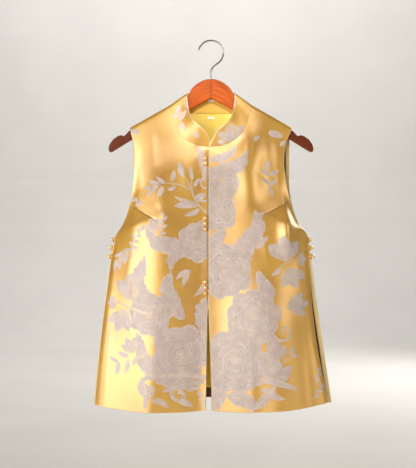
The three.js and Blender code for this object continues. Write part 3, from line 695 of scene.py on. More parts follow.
# A line names a kind, and gives for each motif the x and z of its root and its tip, its bend and its width. A
# lobed leaf has half its spread in degrees for a width, and a peony has neither. Later motifs lie on top.
RIGHT_MOTIFS = """
plume -30 -700 -172 -610 14 44, -90 -600 -162 -440 14 46, -60 -560 -96 -470 6 34, -20 -690 -96 -652 6 30
plume -6 -600 -20 -520 4 34, -40 -420 -140 -398 8 36, -40 -420 -92 -462 -6 26
peony -122 -556 -122 -512, -60 -634 -98 -676, -26 -410 -62 -390
leaf -6 -488 -34 -520 3 12, -40 -470 -70 -486 -4 11, -44 -476 -56 -502 -3 10
feather -26 -216 -20 -266 3 15, -8 -230 -12 -292 -3 14
stem -9 -352 -41 -307 4 3, -41 -307 -57 -276 -3 2.4
leaf -55 -280 -63 -247 2 12
stem -41 -307 -105 -295 -7 2.2
leaf -102 -295 -127 -286 2 10, -105 -297 -129 -319 -3 10, -98 -299 -109 -321 2 10, -80 -288 -76 -266 -2 9
leaf -92 -293 -111 -278 2 8, -72 -299 -88 -305 2 8, -120 -302 -136 -300 1 8
stem -31 -331 -37 -264 5 2.4
leaf -37 -284 -43 -258 1 8, -34 -300 -22 -282 1 8
curl -31 -325 -10 -296 6 4
leaf -31 -331 -10 -315 3 14, -29 -334 -74 -319 3 10, -27 -338 -76 -340 -3 15, -23 -344 -55 -358 3 10
spray -134 -336 -160 -322 3 13
leaf -164 -184 -144 -190 1 10
lobed -104 -390 -122 -364 0 50
spray -104 -400 -96 -360 -4 13, -160 -432 -140 -388 4 14
stem -148 -424 -198 -458 9 2.2
leaf -160 -424 -184 -430 2 8, -166 -430 -174 -458 -3 10, -178 -436 -186 -470 -3 10, -190 -446 -196 -472 -2 9
leaf -174 -430 -198 -440 2 8
lobed -166 -532 -166 -476 0 44, -188 -534 -212 -534 0 56, -172 -544 -192 -592 0 46
stem -190 -532 -132 -552 -2 2.8
leaf -150 -520 -154 -498 1 9
lobed -152 -636 -172 -604 0 44
leaf -164 -640 -190 -632 2 11
stem -126 -630 -190 -652 6 2.6
leaf -186 -652 -192 -680 1 11, -166 -646 -174 -676 2 10, -188 -652 -206 -642 1 8, -150 -640 -158 -660 1 8
feather -138 -688 -134 -744 7 17, -118 -726 -84 -742 4 13, -64 -690 -98 -708 4 13
stem -6 -684 -120 -680 -4 9
curl -118 -680 -124 -704 5 10, -58 -694 -62 -716 5 8
leaf -66 -730 -36 -742 3 12
spray -24 -706 -18 -736 2 12
"""
LEFT_MOTIFS = """
plume 60 -700 142 -590 -14 44, 70 -600 118 -470 -10 44, 40 -440 108 -350 -10 40, 60 -470 92 -400 6 30
plume 10 -740 20 -680 4 44, 40 -720 90 -740 4 34, 0 -480 14 -380 6 40, 10 -340 50 -262 -8 34
plume 0 -330 16 -262 4 30
peony 84 -560 84 -506, 46 -648 96 -690, 28 -470 62 -428, 14 -352 44 -328
feather 84 -742 130 -690 -5 20
plume 24 -330 34 -272 -4 32, -4 -272 84 -240 -7 34, -4 -246 60 -222 -4 20
feather 86 -382 110 -348 3 13, 92 -426 116 -400 3 13
leaf 118 -188 146 -198 1 15, 142 -216 152 -204 1 8
stem 120 -312 116 -262 3 2.2
leaf 112 -266 118 -246 1 11, 117 -274 100 -264 1 9, 118 -276 140 -266 1 9, 119 -292 104 -282 1 8
leaf 120 -298 134 -284 1 8, 119 -302 124 -320 1 7
lobed 150 -452 144 -398 0 60, 171 -447 196 -446 0 52, 155 -460 172 -504 0 54
stem 128 -472 174 -446 5 3
leaf 138 -464 120 -478 2 10
lobed 148 -541 199 -535 0 42
stem 128 -548 150 -542 2 2.6
curl 126 -598 146 -590 5 5
feather 128 -604 112 -630 4 13
stem 142 -664 150 -634 2 2.4, 144 -650 164 -632 -2 2.2
leaf 148 -636 146 -616 1 9, 160 -636 168 -620 1 9, 162 -640 176 -640 1 7
lobed 124 -694 134 -646 0 62
leaf 142 -668 164 -662 2 10, 96 -684 176 -708 4 15
feather 100 -700 148 -724 -4 15
spray 212 -700 226 -664 2 12, 206 -728 230 -706 2 12
leaf 88 -206 98 -196 1 8
"""
BACK_MOTIFS = """
plume 40 -420 112 -330 -14 38, -40 -420 -114 -332 14 38, 80 -520 168 -478 -12 38, -84 -522 -170 -482 12 38
plume 30 -610 128 -640 14 40, -34 -612 -132 -644 -14 40, 4 -380 22 -292 -10 34, 0 -620 -26 -704 -8 34
lobed 96 -470 132 -420 0 56, -98 -472 -136 -424 0 56, 84 -590 146 -570 0 52, -88 -592 -150 -574 0 52
peony 0 -410 46 -400, 62 -486 62 -438, -66 -490 -66 -442, 52 -588 96 -604, -58 -592 -102 -608, -2 -530 54 -520
lobed 160 -700 176 -650 0 56, -160 -704 -178 -654 0 56, 150 -430 164 -384 0 52, -150 -432 -166 -386 0 52
lobed 176 -564 210 -540 0 50, -176 -566 -210 -544 0 50
spray 112 -330 136 -262 6 18, -112 -332 -138 -266 -6 18, 92 -258 124 -192 5 18, -92 -260 -126 -196 -5 18
spray 10 -268 44 -184 8 18, -10 -268 -46 -186 -8 18, 96 -742 120 -680 4 17, -96 -744 -122 -684 -4 17
spray 30 -744 44 -690 4 16, -60 -744 -78 -692 -4 16, 186 -500 190 -440 4 15, -186 -502 -190 -442 -4 15
"""
COLLAR_MOTIFS = """
plume 62 -182 14 -202 4 26
curl 58 -192 40 -190 5 4.5
leaf 14 -208 30 -214 1 9, -76 -158 -58 -146 1 10, -66 -164 -50 -140 -2 8, -70 -150 -62 -132 1 8
leaf -56 -184 -60 -166 1 10, -26 -200 -34 -188 1 9
feather 0 -142 22 -108 2 12, -2 -142 -24 -108 2 12
leaf 40 -140 54 -126 1 8, -40 -140 -54 -126 1 8
"""


def woven(points, motifs):
    pattern = Pattern(points[..., 0], points[..., 2])
    for line in motifs.strip().splitlines():
        kind, places = line.split(maxsplit=1)
        for place in places.split(","):
            pattern.draw(kind, *map(float, place.split()))
    return pattern.values()


# Materials
class Nodes:
    """A material's nodes, made and joined in short calls."""

    def __init__(self, name):
        self.material = bpy.data.materials.new(name)
        self.material.use_nodes = True
        self.tree = self.material.node_tree
        self.shader = self.tree.nodes["Principled BSDF"]

    def put(self, socket, value):
        if isinstance(value, bpy.types.NodeSocket):
            self.tree.links.new(value, socket)
        elif isinstance(value, (tuple, list)) and socket.type == "RGBA":
            socket.default_value = (*value, 1.0)
        else:
            socket.default_value = value

    def node(self, kind, output=0, settings=(), **inputs):
        made = self.tree.nodes.new(kind)
        for key, value in dict(settings).items():
            setattr(made, key, value)
        for key, value in inputs.items():
            place = int(key[1:]) if key[0] == "i" and key[1:].isdigit() else key.replace("_", " ")
            self.put(made.inputs[place], value)
        return made.outputs[output]

    def math(self, operation, a, b=0.0):
        return self.node("ShaderNodeMath", settings={"operation": operation}, i0=a, i1=b)

    def value(self, name):
        return self.node("ShaderNodeAttribute", output=2, settings={"attribute_name": name})

    def ramp(self, value, low, high, start=0.0, end=1.0):
        settings = {"interpolation_type": "SMOOTHSTEP"}
        return self.node("ShaderNodeMapRange", settings=settings, i0=value, i1=low, i2=high, i3=start, i4=end)

    def mix(self, share, a, b):
        settings = {"data_type": "RGBA", "clamp_factor": True}
        return self.node("ShaderNodeMix", output=2, settings=settings, i0=share, i6=a, i7=b)

    def noise(self, scale, detail=3.0, stretch=(1, 1, 1)):
        where = self.node("ShaderNodeTexCoord", output=3)
        turned = self.node("ShaderNodeMapping", Vector=where, Scale=stretch)
        return self.node("ShaderNodeTexNoise", Vector=turned, Scale=scale, Detail=detail)

    def bump(self, height, strength, distance):
        normal = self.node("ShaderNodeBump", Height=height, Strength=strength, Distance=distance)
        self.set(Normal=normal)

    def set(self, **inputs):
        for key, value in inputs.items():
            self.put(self.shader.inputs[key.replace("_", " ")], value)


def linear(red, green, blue):
    """A colour given as it shows on a screen, from 0 to 255."""
    return tuple(((c / 255 + 0.055) / 1.055) ** 2.4 if c > 10 else c / 3295 for c in (red, green, blue))


def brocade(name, gold, deep, silver, shade):
    m = Nodes(name)
    stripe = m.ramp(m.math("SINE", m.math("MULTIPLY", m.value("hatch"), 2 * math.pi)), -0.2, 0.8)
    lines = m.math("MULTIPLY", m.value("hatched"), stripe)
    mask = m.ramp(m.value("silver"), -0.45, 0.45)
    ground = m.mix(m.ramp(m.noise(14.0), 0.35, 0.7), gold, deep)
    thread = m.mix(m.ramp(m.noise(60.0), 0.3, 0.7), silver, shade)
    thread = m.mix(lines, thread, HATCH_TONE)
    colour = m.mix(mask, ground, thread)
    # painted shade: brown along the seams, the darts, the centre front edge and beside the lapped edge
    colour = m.mix(m.value("seam"), colour, SEAM_SHADE_TONE)
    # painted highlight: a cream line along the rolled edges
    colour = m.mix(m.value("edge"), colour, EDGE_HIGHLIGHT_CREAM)
    m.set(Base_Color=colour, Roughness=m.ramp(mask, 0, 1, 0.42, 0.6), Metallic=m.ramp(mask, 0, 1, 0.38, 0.0))
    m.set(Coat_Weight=m.ramp(mask, 0, 1, 1.0, 0.2), Coat_Roughness=0.4, Coat_IOR=2.35, Specular_IOR_Level=0.9)
    m.set(Specular_Tint=(1.0, 0.88, 0.6))
    weave = m.noise(1500.0, 2.0, (1, 1, 0.4))
    slub = m.noise(130.0, 3.0, (1, 1, 0.35))
    height = m.math("ADD", m.math("MULTIPLY", mask, 0.7), m.math("ADD", m.math("MULTIPLY", weave, 0.3), slub))
    m.bump(height, 0.35, 0.0005)
    return m.material


def satin(name, colour, deep, roughness):
    m = Nodes(name)
    fold = m.noise(26.0, 3.0, (1, 1, 0.3))
    m.set(Base_Color=m.mix(m.ramp(fold, 0.35, 0.7), colour, deep), Roughness=roughness)
    m.set(Sheen_Weight=0.1, Sheen_Roughness=0.35, Specular_IOR_Level=0.5)
    m.bump(fold, 0.3, 0.002)
    return m.material


def two_tone(name, near, far, roughness):
    """Cloth that is one colour where the inside value is 1 and another where it is 0."""
    m = Nodes(name)
    m.set(Base_Color=m.mix(m.ramp(m.value("inside"), 0.42, 0.55), far, near), Roughness=roughness)
    m.bump(m.noise(500.0), 0.2, 0.0004)
    return m.material


def plain(name, colour, deep, roughness, metallic=0.0, scale=300.0, coat=0.0):
    m = Nodes(name)
    mottle = m.noise(scale)
    m.set(Base_Color=m.mix(m.ramp(mottle, 0.35, 0.7), colour, deep), Roughness=roughness, Metallic=metallic)
    m.set(Coat_Weight=coat, Coat_Roughness=0.12)
    m.bump(mottle, 0.15, 0.0002)
    return m.material


def varnished_wood(name):
    m = Nodes(name)
    along = m.node("ShaderNodeCombineXYZ", X=m.value("along"), Y=m.value("aside"))
    grain = m.node("ShaderNodeTexNoise", Vector=along, Scale=1.0, Detail=5.0)
    fine = m.node("ShaderNodeTexNoise", Vector=along, Scale=5.0, Detail=3.0)
    tone = m.mix(m.ramp(grain, 0.3, 0.72), WOOD_LIGHT, WOOD_DARK)
    tone = m.mix(m.ramp(fine, 0.5, 0.8, 0.0, 0.45), tone, WOOD_LINE)
    # darker wood at the end grain and along a line at the middle, and painted shade on the arms
    tone = m.mix(m.value("seam"), tone, WOOD_END_GRAIN_AND_SHADE)
    m.set(Base_Color=tone, Roughness=0.5, Coat_Weight=0.06, Coat_Roughness=0.25, Specular_IOR_Level=0.25)
    m.bump(fine, 0.12, 0.0004)
    return m.material


GOLD = linear(243, 182, 28)
GOLD_DEEP = linear(226, 161, 22)
SILVER = linear(224, 208, 204)
SILVER_SHADE = linear(207, 190, 187)
HATCH_TONE = linear(176, 155, 146)
# the brown of the painted shade in seams, darts and beside the lapped edge
SEAM_SHADE_TONE = linear(160, 108, 48)
# the cream of the painted highlight on rolled edges
EDGE_HIGHLIGHT_CREAM = linear(250, 226, 178)
WOOD_LIGHT = linear(226, 108, 24)
WOOD_DARK = linear(180, 70, 14)
WOOD_LINE = linear(120, 46, 14)
# the dark of the end grain, also used as painted shade on the arms
WOOD_END_GRAIN_AND_SHADE = linear(102, 44, 20)

outside = brocade("brocade", GOLD, GOLD_DEEP, SILVER, SILVER_SHADE)
facing = satin("facing_satin", linear(242, 200, 82), linear(232, 184, 70), 0.55)
# the back's inner face: pale facing by its side edges, and dark brown painted shade further in
back_facing_and_painted_shade = two_tone("back_facing_and_painted_shade", linear(250, 222, 160), linear(84, 44, 14), 0.5)
lining = satin("lining_satin", linear(255, 234, 106), linear(254, 222, 96), 0.45)
label_cloth = plain("label_cloth", linear(255, 250, 228), linear(246, 240, 214), 0.75, scale=900.0)
gilt = plain("gilt", linear(255, 228, 160), linear(250, 212, 130), 0.22, metallic=0.35, scale=90.0, coat=1.0)
cord = plain("cord", linear(238, 178, 94), linear(210, 142, 62), 0.5, scale=1400.0)
wood = varnished_wood("varnished_wood")
steel = plain("steel", linear(196, 194, 190), linear(168, 166, 162), 0.24, metallic=1.0, scale=60.0)

EDGE_HIGHLIGHT_WIDTH = 1.3
SEAM_SHADE_WIDTH = 1.1
NECK_SEAM_SHADE = 0.4  # how strongly the painted shade, in brown, shows along a seam
CENTRE_EDGE_SHADE = 0.7
DART_SHADE = 0.75
DART_SHADE_WIDTH = 1.2
LAP_SHADOW = 0.9  # a painted shadow on the under front, along the edge of the front that laps over it
LAP_SHADOW_X = -6.9
LAP_SHADOW_WIDTH = 1.6
LAP_SHADOW_TOP = -228
LAP_SHADOW_BOTTOM = -545
# How far rolled edges bulge, as a share of the thickness. The panels meet flat on the ridge.
FRONT_RIMS = {"top": 0.0, "bottom": 0.5, "start": 0.5, "end": 0.5}
BACK_RIMS = {"top": 0.0, "bottom": 0.5, "end": 0.5}


def ridge_up(points):
    """The way up from a shoulder's ridge line, square to it."""
    run = points[0, -1] - points[0, 0]
    up = np.array([-run[2], 0, run[0]])
    return up * np.sign(up[2]) / np.hypot(up[0], up[2])


def painted_edge_highlights(points, sections, neck_row, strength):
    """How far the painted highlight, in cream, shows along the rolled edges: at the hem and sides, and at the
    centre below the neck.
    """
    _, hem, centre, outer = edge_distances(points)
    edge = bell(outer, EDGE_HIGHLIGHT_WIDTH) * smooth(sections)[:, None]
    edge = np.maximum(edge, bell(centre - 2.0, 1.1) * smooth((sections - neck_row) * 3)[:, None])
    return strength * np.maximum(edge, 0.7 * bell(hem, EDGE_HIGHLIGHT_WIDTH))


def front_panel(side, name, motifs):
    sections = even_rows(front_points, side, LAST_FRONT_ROW, PANEL_STEP)
    points = front_points(side, sections[:, None], np.linspace(0, 1, STRIDE * 53 + 1)[None])
    normals = grid_normals(points, -1)
    normals[0] = ridge_up(points)
    x, z = points[..., 0], points[..., 2]
    on_neck = (sections < NECK_ROW)[:, None]
    # painted shade along the neck seam and the centre front edge
    seam = bell(edge_distances(points)[2], SEAM_SHADE_WIDTH) * np.where(on_neck, NECK_SEAM_SHADE, CENTRE_EDGE_SHADE)
    # painted shade in the dart creases
    for dart in DARTS:
        off, share = dart_distance(dart, x, z)
        seam = np.maximum(seam, DART_SHADE * bell(off, DART_SHADE_WIDTH) * (1 - share ** 6))
    # painted shadow on the under front, beside the edge of the front that laps over it
    if side < 0:
        line = LAP_SHADOW * bell(x - LAP_SHADOW_X, LAP_SHADOW_WIDTH)
        seam = np.maximum(seam, line * smooth((LAP_SHADOW_TOP - z) / 12) * smooth((z - LAP_SHADOW_BOTTOM) / 20))
    # painted highlight in cream along the rolled edges
    edge = painted_edge_highlights(points, sections, NECK_ROW, 0.4)
    builder = Builder()
    builder.shell(points, normals, CLOTH, FRONT_RIMS, 1, edge=edge, seam=seam, **woven(points, motifs))
    piece = builder.build(name + "_panel", name, [outside, lining])


front_panel(-1, "front_right", RIGHT_MOTIFS)
front_panel(1, "front_left", LEFT_MOTIFS)

BACK_FACING = 7.5  # width of the pale facing along the back's side edges; further in, the inner face is painted dark brown as shade
LINING_OFFSET = 1.9
LINING_ROWS = (2, LAST_BACK_ROW - 20 / 110.4)
LINING_REACH = 10 / 12  # of the back's half width
LINING_RIPPLE_ROW = 4.6
LINING_WAVES = [(0.11, 0.02, 0.5), (0.061, -0.03, 0.35), (0.17, 0.05, 0.22)]  # across, down, height


def back_halves(sections, columns):
    """Points and normals of the back's two halves, which share their middle line below the neck."""
    neck = int(np.argmin(np.abs(sections - BACK_NECK_ROW)))
    sections[neck] = BACK_NECK_ROW
    for side in (-1, 1):
        points = back_points(side, sections[:, None], columns[None])
        normals = grid_normals(points, 1)
        if sections[0] == 0:
            normals[0] = ridge_up(points)
        normals[neck:, 0, 0] = 0
        yield points, unit(normals)


def back_panel():
    sections = even_rows(back_points, 1, LAST_BACK_ROW, BACK_STEP)
    builder = Builder()
    for points, normals in back_halves(sections, np.linspace(0, 1, STRIDE * 36 + 1)):
        # painted highlight in cream along the rolled edges
        edge = painted_edge_highlights(points, sections, LAST_BACK_ROW, 0.5)
        # 1 on the pale facing, 0 where the inner face is painted dark as shade
        inside = np.clip(1 - edge_distances(points)[3] / (2 * BACK_FACING), 0, 1)
        pattern = woven(points, BACK_MOTIFS)
        builder.shell(points, normals, CLOTH, BACK_RIMS, 1, inside, edge=edge, seam=0.0, **pattern)
    piece = builder.build("back_panel", "back", [outside, back_facing_and_painted_shade])


def back_lining():
    sections = np.linspace(*LINING_ROWS, STRIDE * 70 + 1)
    builder = Builder()
    for outer, normals in back_halves(sections, np.linspace(0, LINING_REACH, STRIDE * 26 + 1)):
        x, z = outer[..., 0], outer[..., 2]
        ripple = sum(h * (1 + np.sin(a * x + d * z + 3 * np.sin(0.01 * z))) for a, d, h in LINING_WAVES)
        depth = LINING_OFFSET + SATIN + ripple * smooth((sections - LINING_RIPPLE_ROW) / 3)[:, None]
        inside = outer - normals * depth[..., None]
        builder.shell(inside, -normals, SATIN, {"top": 0.4, "bottom": 0.4, "end": 0.4}, 0)
    piece = builder.build("back_lining_satin", "back_lining", [lining])


def top_edge(side, rows, facing, at):
    """The collar's top edge beside fractional sections, which run over the shoulder's ridge below 1."""
    rows = {**rows, "top_x": side * rows["top_x"]}
    if side > 0 > facing:
        rows["top_x"][0] = COLLAR_LEFT_END
    index = np.interp(facing * at, facing * rows["row"], np.arange(len(rows["row"])))
    level = [curve(rows[name], index) for name in ("top_x", "top_y", "top_z")]
    ridge_x, ridge_z = side * COLLAR_RIDGE_TOP[0], COLLAR_RIDGE_TOP[1]
    next_x, next_z = (rows[name][min(facing, 0)] for name in ("top_x", "top_z"))
    share = 1 - np.cos(at * np.pi / 2)
    turned = facing * COLLAR_RIDGE_RADIUS * np.sin(at * np.pi / 2)
    ridge = [ridge_x + (next_x - ridge_x) * share, turned, ridge_z + (next_z - ridge_z) * share]
    return np.where(at < 1, ridge, level).T


def collar_side(side):
    """The collar's foot and top edge on one side, from the front end over the ridge to the middle back."""
    front = np.concatenate([np.linspace(NECK_ROW, 1, 150), np.linspace(1, 0, 14)[1:]])
    back = np.concatenate([np.linspace(0, 1, 14)[1:-1], np.linspace(1, BACK_NECK_ROW, 100)])
    foot = [front_points(side, np.maximum(front, 0.001), 0.0), back_points(side, back, 0.0)]
    top = [top_edge(side, COLLAR_FRONT, -1, front), top_edge(side, COLLAR_BACK, 1, back)]
    return np.concatenate(foot), np.concatenate(top)


def collar():
    sides = [collar_side(-1), collar_side(1)]
    seam, top = (np.concatenate([right, left[::-1][1:]]) for right, left in zip(*sides))
    run = running(seam + top) / 2
    even = np.linspace(0, run[-1], STRIDE * round(run[-1] / COLLAR_STEP / STRIDE) + 1)
    seam, top = (each_axis(lambda column: np.interp(even, run, column), line) for line in (seam, top))
    rise = top - seam
    foot = seam + rise / np.linalg.norm(rise, axis=1, keepdims=True) * SEAM_GAP
    points = foot[:, None] + (top - foot)[:, None] * np.linspace(0, 1, STRIDE * 13 + 1)[None, :, None]
    first, last, seam_side, top_side = edge_distances(points)
    # painted highlight in cream along the collar's rolled edges
    edge = 0.85 * bell(np.minimum(top_side, np.minimum(first, last)), EDGE_HIGHLIGHT_WIDTH)
    # painted shade along the seam at the collar's foot
    seam = NECK_SEAM_SHADE * bell(seam_side, 1.0)
    builder = Builder()
    rims = {"top": 0.4, "bottom": 0.4, "start": 0.2, "end": 0.5}
    pattern = woven(points, COLLAR_MOTIFS)
    builder.shell(points, grid_normals(points, 1), COLLAR_CLOTH, rims, 1, edge=edge, seam=seam, **pattern)
    piece = builder.build("stand_collar", "collar", [outside, facing])


back_panel()
back_lining()
collar()


def blank_label(name, node, width, height, centre_z, back_y):
    """A thin label with turned-in ends and a slight curl."""
    across = np.linspace(-width / 2, width / 2, STRIDE * 8 + 1)
    down = np.linspace(height / 2, -height / 2, STRIDE * 5 + 1)
    x, z = np.meshgrid(across, down)
    fold = 0.12 * smooth((np.abs(x) - width / 2 + 2.2) / 0.5)
    lift = 0.15 * np.sin(x * 0.3) * (0.5 - z / height)
    points = np.stack([x, back_y - 0.4 - fold - np.abs(lift), z + centre_z], axis=-1)
    normals = np.broadcast_to([0.0, -1.0, 0.0], points.shape).copy()
    builder = Builder()
    builder.shell(points, normals, 0.35, {"top": 0.4, "bottom": 0.4, "start": 0.4, "end": 0.4}, 0)
    piece = builder.build(name, node, [label_cloth])


blank_label("blank_neck_tab", "neck_tab", 13.6, 5.0, -155.8, 10.2)
blank_label("blank_collar_label", "collar_label", 14.0, 16.0, -115.4, 10.9)

# Fastenings
BALL_RADIUS = 4.0
LOOP_RADIUS = 1.0
BALL_SEAT = 0.5
SIDE_BALL_SEAT = 0.3
SIDE_LOOP_SINK = 1.4
LAYER_GAP = 0.3
PART_GAP = 0.35
PART_CLOTH = 1.6
FRONT_BALL_X = -11.4
FRONT_GROUPS = [("neck", -230.0, 11.6), ("bust", -363.0, 11.2), ("waist", -490.5, 11.8)]
SIDE_FIRST_Z = -407
SIDE_PITCH = 17
BEYOND_THE_SIDE = 260


def at_height(point_at, last_row, z):
    """The point of a falling line that lies at a height."""
    low, high = 0.0, float(last_row)
    for _ in range(40):
        row = (low + high) / 2
        point = point_at(row)
        low, high = (row, high) if point[2] > z else (low, row)
    return point


def find_on_front(side, x, z):
    def point_at(row):
        inner, outer = (front_points(side, row, across)[0] for across in (0.0, 1.0))
        return front_points(side, row, float(np.clip((x - inner) / (outer - inner), 0, 1)))

    return at_height(point_at, LAST_FRONT_ROW, z)


def side_of_back(side, z):
    return at_height(lambda row: back_points(side, row, 1.0), LAST_BACK_ROW, z)


def ball(name, centre, outward, seat):
    """A cast ball with a fine rib round it and a short shank to the cloth."""
    first = unit(np.cross(outward, [0.1, 0.2, 0.9]))
    second = np.cross(outward, first)
    tilt = np.linspace(-np.pi / 2, np.pi / 2, 27)
    size = BALL_RADIUS * np.cos(tilt) * (1 - 0.035 * bell(tilt, 0.07))
    shank = np.array([[0.02, -BALL_RADIUS - seat], [0.9, -BALL_RADIUS - seat], [0.8, -BALL_RADIUS * 0.98]])
    round_part = np.stack([np.maximum(size, 0.02), BALL_RADIUS * np.sin(tilt)], axis=1)
    reach, height = np.concatenate([shank, round_part[3:]]).T[:, :, None, None]
    turns = np.linspace(0, 2 * np.pi, 25)[:, None]
    ring = centre + height * outward + reach * (np.cos(turns) * first + np.sin(turns) * second)
    builder = Builder()
    builder.grid(ring, ring - centre)
    builder.build(name + "_gilt", name, [gilt])


def loop(name, centre, towards, up, outward, reach, foot_drop):
    clear = BALL_RADIUS + LOOP_RADIUS + LAYER_GAP
    lift = BALL_RADIUS - LOOP_RADIUS
    radius = math.sqrt(clear ** 2 - lift ** 2)
    places = [(reach, radius, foot_drop), (reach * 0.4, radius, foot_drop * 0.25)]
    for angle in np.linspace(np.pi / 2, 3 * np.pi / 2, 9):
        places.append((radius * math.cos(angle), radius * math.sin(angle), 0))
    places += [(reach * 0.4, -radius, foot_drop * 0.25), (reach, -radius, foot_drop)]
    middle = centre - outward * lift
    points = np.array([middle + towards * a + up * h - outward * sink for a, h, sink in places])
    run = running(points)
    index = np.interp(np.linspace(0, run[-1], 60), run, np.arange(len(points)))
    builder = Builder()
    builder.tube(each_axis(lambda column: curve(column, index), points), LOOP_RADIUS, 14, strands=3)
    builder.build(name + "_cord", name, [cord])


for group, first_z, pitch in FRONT_GROUPS:
    for i in range(3):
        z = first_z - i * pitch
        seat, above, below = (find_on_front(-1, FRONT_BALL_X, z + d) for d in (0, BALL_RADIUS, -BALL_RADIUS))
        up = unit((above - below) * [0, 1, 1])
        across = np.array([1.0, 0, 0])
        outward = np.cross(across, up)
        centre = seat + outward * (BALL_RADIUS + BALL_SEAT)
        reach = find_on_front(1, FRONT_BALL_X, z)[0] - PART_GAP - centre[0]
        ball(f"{group}_ball_{i + 1}", centre, outward, BALL_SEAT)
        loop(f"{group}_loop_{i + 1}", centre, across, up, outward, reach, 0)

for name, side in (("right_side", -1), ("left_side", 1)):
    for i in range(3):
        z = SIDE_FIRST_Z - i * SIDE_PITCH
        edge = find_on_front(side, side * BEYOND_THE_SIDE, z)
        back_edge, above, below = (side_of_back(side, z + d) for d in (0, BALL_RADIUS, -BALL_RADIUS))
        up = unit((above - below) * [1, 0, 1])
        outward = np.array([up[2], 0, -up[0]]) * side
        back_edge[1] -= PART_CLOTH / 2
        centre = back_edge + outward * (BALL_RADIUS + SIDE_BALL_SEAT)
        reach = back_edge[1] - (edge[1] + PART_CLOTH / 2)
        drop = abs(centre[0] - edge[0]) - BALL_RADIUS - PART_GAP + SIDE_LOOP_SINK
        ball(f"{name}_ball_{i + 1}", centre, outward, SIDE_BALL_SEAT)
        loop(f"{name}_loop_{i + 1}", centre, np.array([0, -1.0, 0]), up, outward, reach, drop)

# The hanger, as its upper and lower edge from the middle to one end.
HANGER_UPPER = numbers("""
0 -77.5
9 -78.4
18 -81.4
27 -86.2
36 -93.4
42 -100.4
44.6 -110.4
82.2 -136
162 -180.8
168.5 -184.5
172.5 -189.5
178 -194.6
184 -192.6
191 -194.8
201 -201.9
207.5 -211.5
209.8 -220
""")
HANGER_LOWER = numbers("""
0 -117.3
5 -119
15 -124.5
30 -132.5
46 -142.8
100 -170.8
160 -200.6
203.5 -227.4
208.6 -226.4
209.8 -220
""")
HANGER_THICK = 11.0
HANGER_ROUND = 2.4
HUMP_TOP = -77.5
STEM_DEPTH = 16.0
WIRE_RADIUS = 1.7
HOOK_RADIUS = 25.5
HOOK_NECK = [(7.4, -26.4), (1.4, -33.6)]  # x and z of the wire under the ring, from the ring's centre
HOOK_RISE = 12.0  # where the wire stands upright above the hump
DARK_FROM_X = 60  # the arms are painted darker from here out, as shade beside the lit crown
GRAIN_LENGTH = 38
GRAIN_WIDTH = 2.6


def hanger():
    half = np.concatenate([np.linspace(0, 200, 150), 209.75 - 9.75 * np.linspace(1, 0, 16)[1:] ** 2])
    x = np.concatenate([-half[:0:-1], half])
    upper, lower = (np.interp(np.abs(x), *edge.T) for edge in (HANGER_UPPER, HANGER_LOWER))
    corner = np.minimum(HANGER_ROUND, np.maximum(upper - lower, 0.05) / 2)
    thick = HANGER_THICK / 2 - (HANGER_ROUND - corner)
    section = []
    for sign_y, sign_z in ((-1, 1), (1, 1), (1, -1), (-1, -1)):
        base = upper - corner if sign_z > 0 else lower + corner
        for turn in np.linspace(0, np.pi / 2, 6)[::-sign_y * sign_z]:
            y = sign_y * (thick - corner + corner * math.cos(turn))
            section.append(np.stack([x, y, base + sign_z * corner * math.sin(turn)], axis=1))
    ring = np.stack([*section, section[0]], axis=1)
    middle = ring.mean(axis=1, keepdims=True)
    x = x[:, None]
    # painted shade darkens the arms out from DARK_FROM_X; a darker line runs down the middle
    dark = np.maximum(0.92 * smooth((np.abs(x) - DARK_FROM_X) / 60), 0.8 * bell(x, 0.7))
    # the grain runs along each arm
    aside = (ring[..., 2] - middle[..., 2] + 0.4 * ring[..., 1]) / GRAIN_WIDTH + 40 * (x > 0)
    builder = Builder()
    builder.grid(ring, ring - middle, seam=dark, along=np.abs(x) / GRAIN_LENGTH, aside=aside)
    for end, way in ((0, -1.0), (-1, 1.0)):
        cap = np.stack([ring[end], np.broadcast_to(middle[end], ring[end].shape)])
        builder.grid(cap, np.broadcast_to([way, 0, 0], cap.shape), seam=0.92)
    builder.build("wooden_hanger", "hanger_body", [wood])


def hook():
    centre_z = WIRE_RADIUS - HOOK_RADIUS
    angles = np.radians(np.linspace(165, -50, 60))
    arc = np.array([(HOOK_RADIUS * math.cos(a), 0.0, centre_z + HOOK_RADIUS * math.sin(a)) for a in angles])
    neck = [(x, 0, centre_z + z) for x, z in HOOK_NECK]
    stem = [(0, 0, HUMP_TOP + rise) for rise in (HOOK_RISE, 0, 2 * LAYER_GAP - STEM_DEPTH)]
    knots = np.array([arc[-1], *neck, *stem])
    rows = np.linspace(0, len(knots) - 1, 60)
    path = np.concatenate([arc, each_axis(lambda column: curve(column, rows), knots)[1:]])
    for _ in range(4):
        path[50:-12] = (path[49:-13] + path[50:-12] + path[51:-11]) / 3
    builder = Builder()
    builder.tube(path, WIRE_RADIUS, 20)
    builder.build("steel_hook", "hanger_hook", [steel])


hanger()
hook()


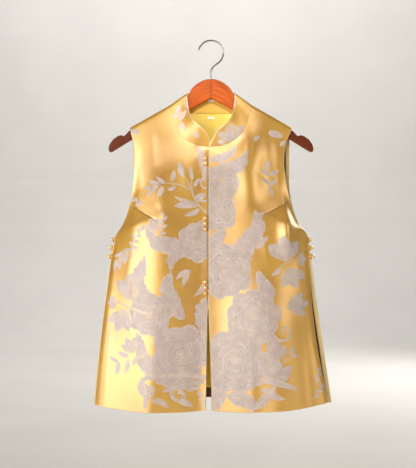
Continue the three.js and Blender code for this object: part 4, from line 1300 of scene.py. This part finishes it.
# Camera, floor, wall and lights
def backdrop():
    """A pale floor that turns up into a wall."""
    profile = [(-6.0, -0.95), (2.6, -0.95)]
    for turn in np.linspace(0, np.pi / 2, 13)[1:]:
        profile.append((2.6 + math.sin(turn), 0.05 - math.cos(turn)))
    profile.append((3.6, 5.0))
    mesh = bpy.data.meshes.new("backdrop")
    points = [(x, y, z) for y, z in profile for x in (-9.0, 9.0)]
    faces = [(2 * i, 2 * i + 1, 2 * i + 3, 2 * i + 2) for i in range(len(profile) - 1)]
    mesh.from_pydata(points, [], faces)
    pale = plain("backdrop_paint", linear(236, 234, 230), linear(232, 230, 226), 0.9, scale=3.0)
    mesh.materials.append(pale)
    add_object("backdrop", mesh)


def light(name, kind, place, aim, power, **settings):
    lamp = bpy.data.lights.new(name, kind)
    lamp.energy = power
    for key, value in settings.items():
        setattr(lamp, key, value)
    turn = (Vector(aim) - Vector(place)).to_track_quat("-Z", "Y")
    add_object(name, lamp, place).rotation_euler = turn.to_euler()


def area_light(name, place, aim, width, height, power, colour):
    light(name, "AREA", place, aim, power, color=colour, shape="RECTANGLE", size=width, size_y=height)


backdrop()
MIDDLE = (0.0, 0.0, -0.42)
area_light("key", (-1.75, -1.55, -0.3), MIDDLE, 1.4, 1.5, 31, (1.0, 0.97, 0.97))
area_light("key_near", (-0.78, -2.2, -0.3), MIDDLE, 0.6, 1.5, 13, (1.0, 0.97, 0.88))
area_light("top", (0.3, -1.8, 1.4), MIDDLE, 1.2, 0.6, 1.5, (1.0, 0.93, 0.8))
area_light("fill", (2.0, -1.2, 0.2), MIDDLE, 1.0, 1.4, 12, (1.0, 0.93, 0.8))
area_light("wall", (0.0, 1.9, 2.0), (0.0, 3.6, -0.4), 3.0, 0.8, 50, (1.0, 1.0, 1.0))
area_light("back", (1.3, 1.9, 0.4), MIDDLE, 0.8, 1.4, 22, (1.0, 0.98, 0.95))
beam = {"spot_size": math.radians(2.5), "spot_blend": 0.9, "shadow_soft_size": 0.08}
light("neck", "SPOT", (0.0, -1.8, 0.85), (0.0, 0.02, -0.176), 520, **beam)
world = bpy.data.worlds.new("studio")
world.use_nodes = True
background = world.node_tree.nodes["Background"]
background.inputs["Color"].default_value = (1.0, 0.94, 0.82, 1.0)
background.inputs["Strength"].default_value = 0.14
bpy.context.scene.world = world
bpy.context.scene.view_settings.view_transform = "Standard"

lens = bpy.data.cameras.new("camera")
lens.sensor_fit = "VERTICAL"
lens.sensor_height = 36.0
lens.lens = 75.05
camera = add_object("camera", lens, (-0.00615, -2.0, -0.395))
camera.rotation_euler = (math.pi / 2, 0, 0)
bpy.context.scene.camera = camera
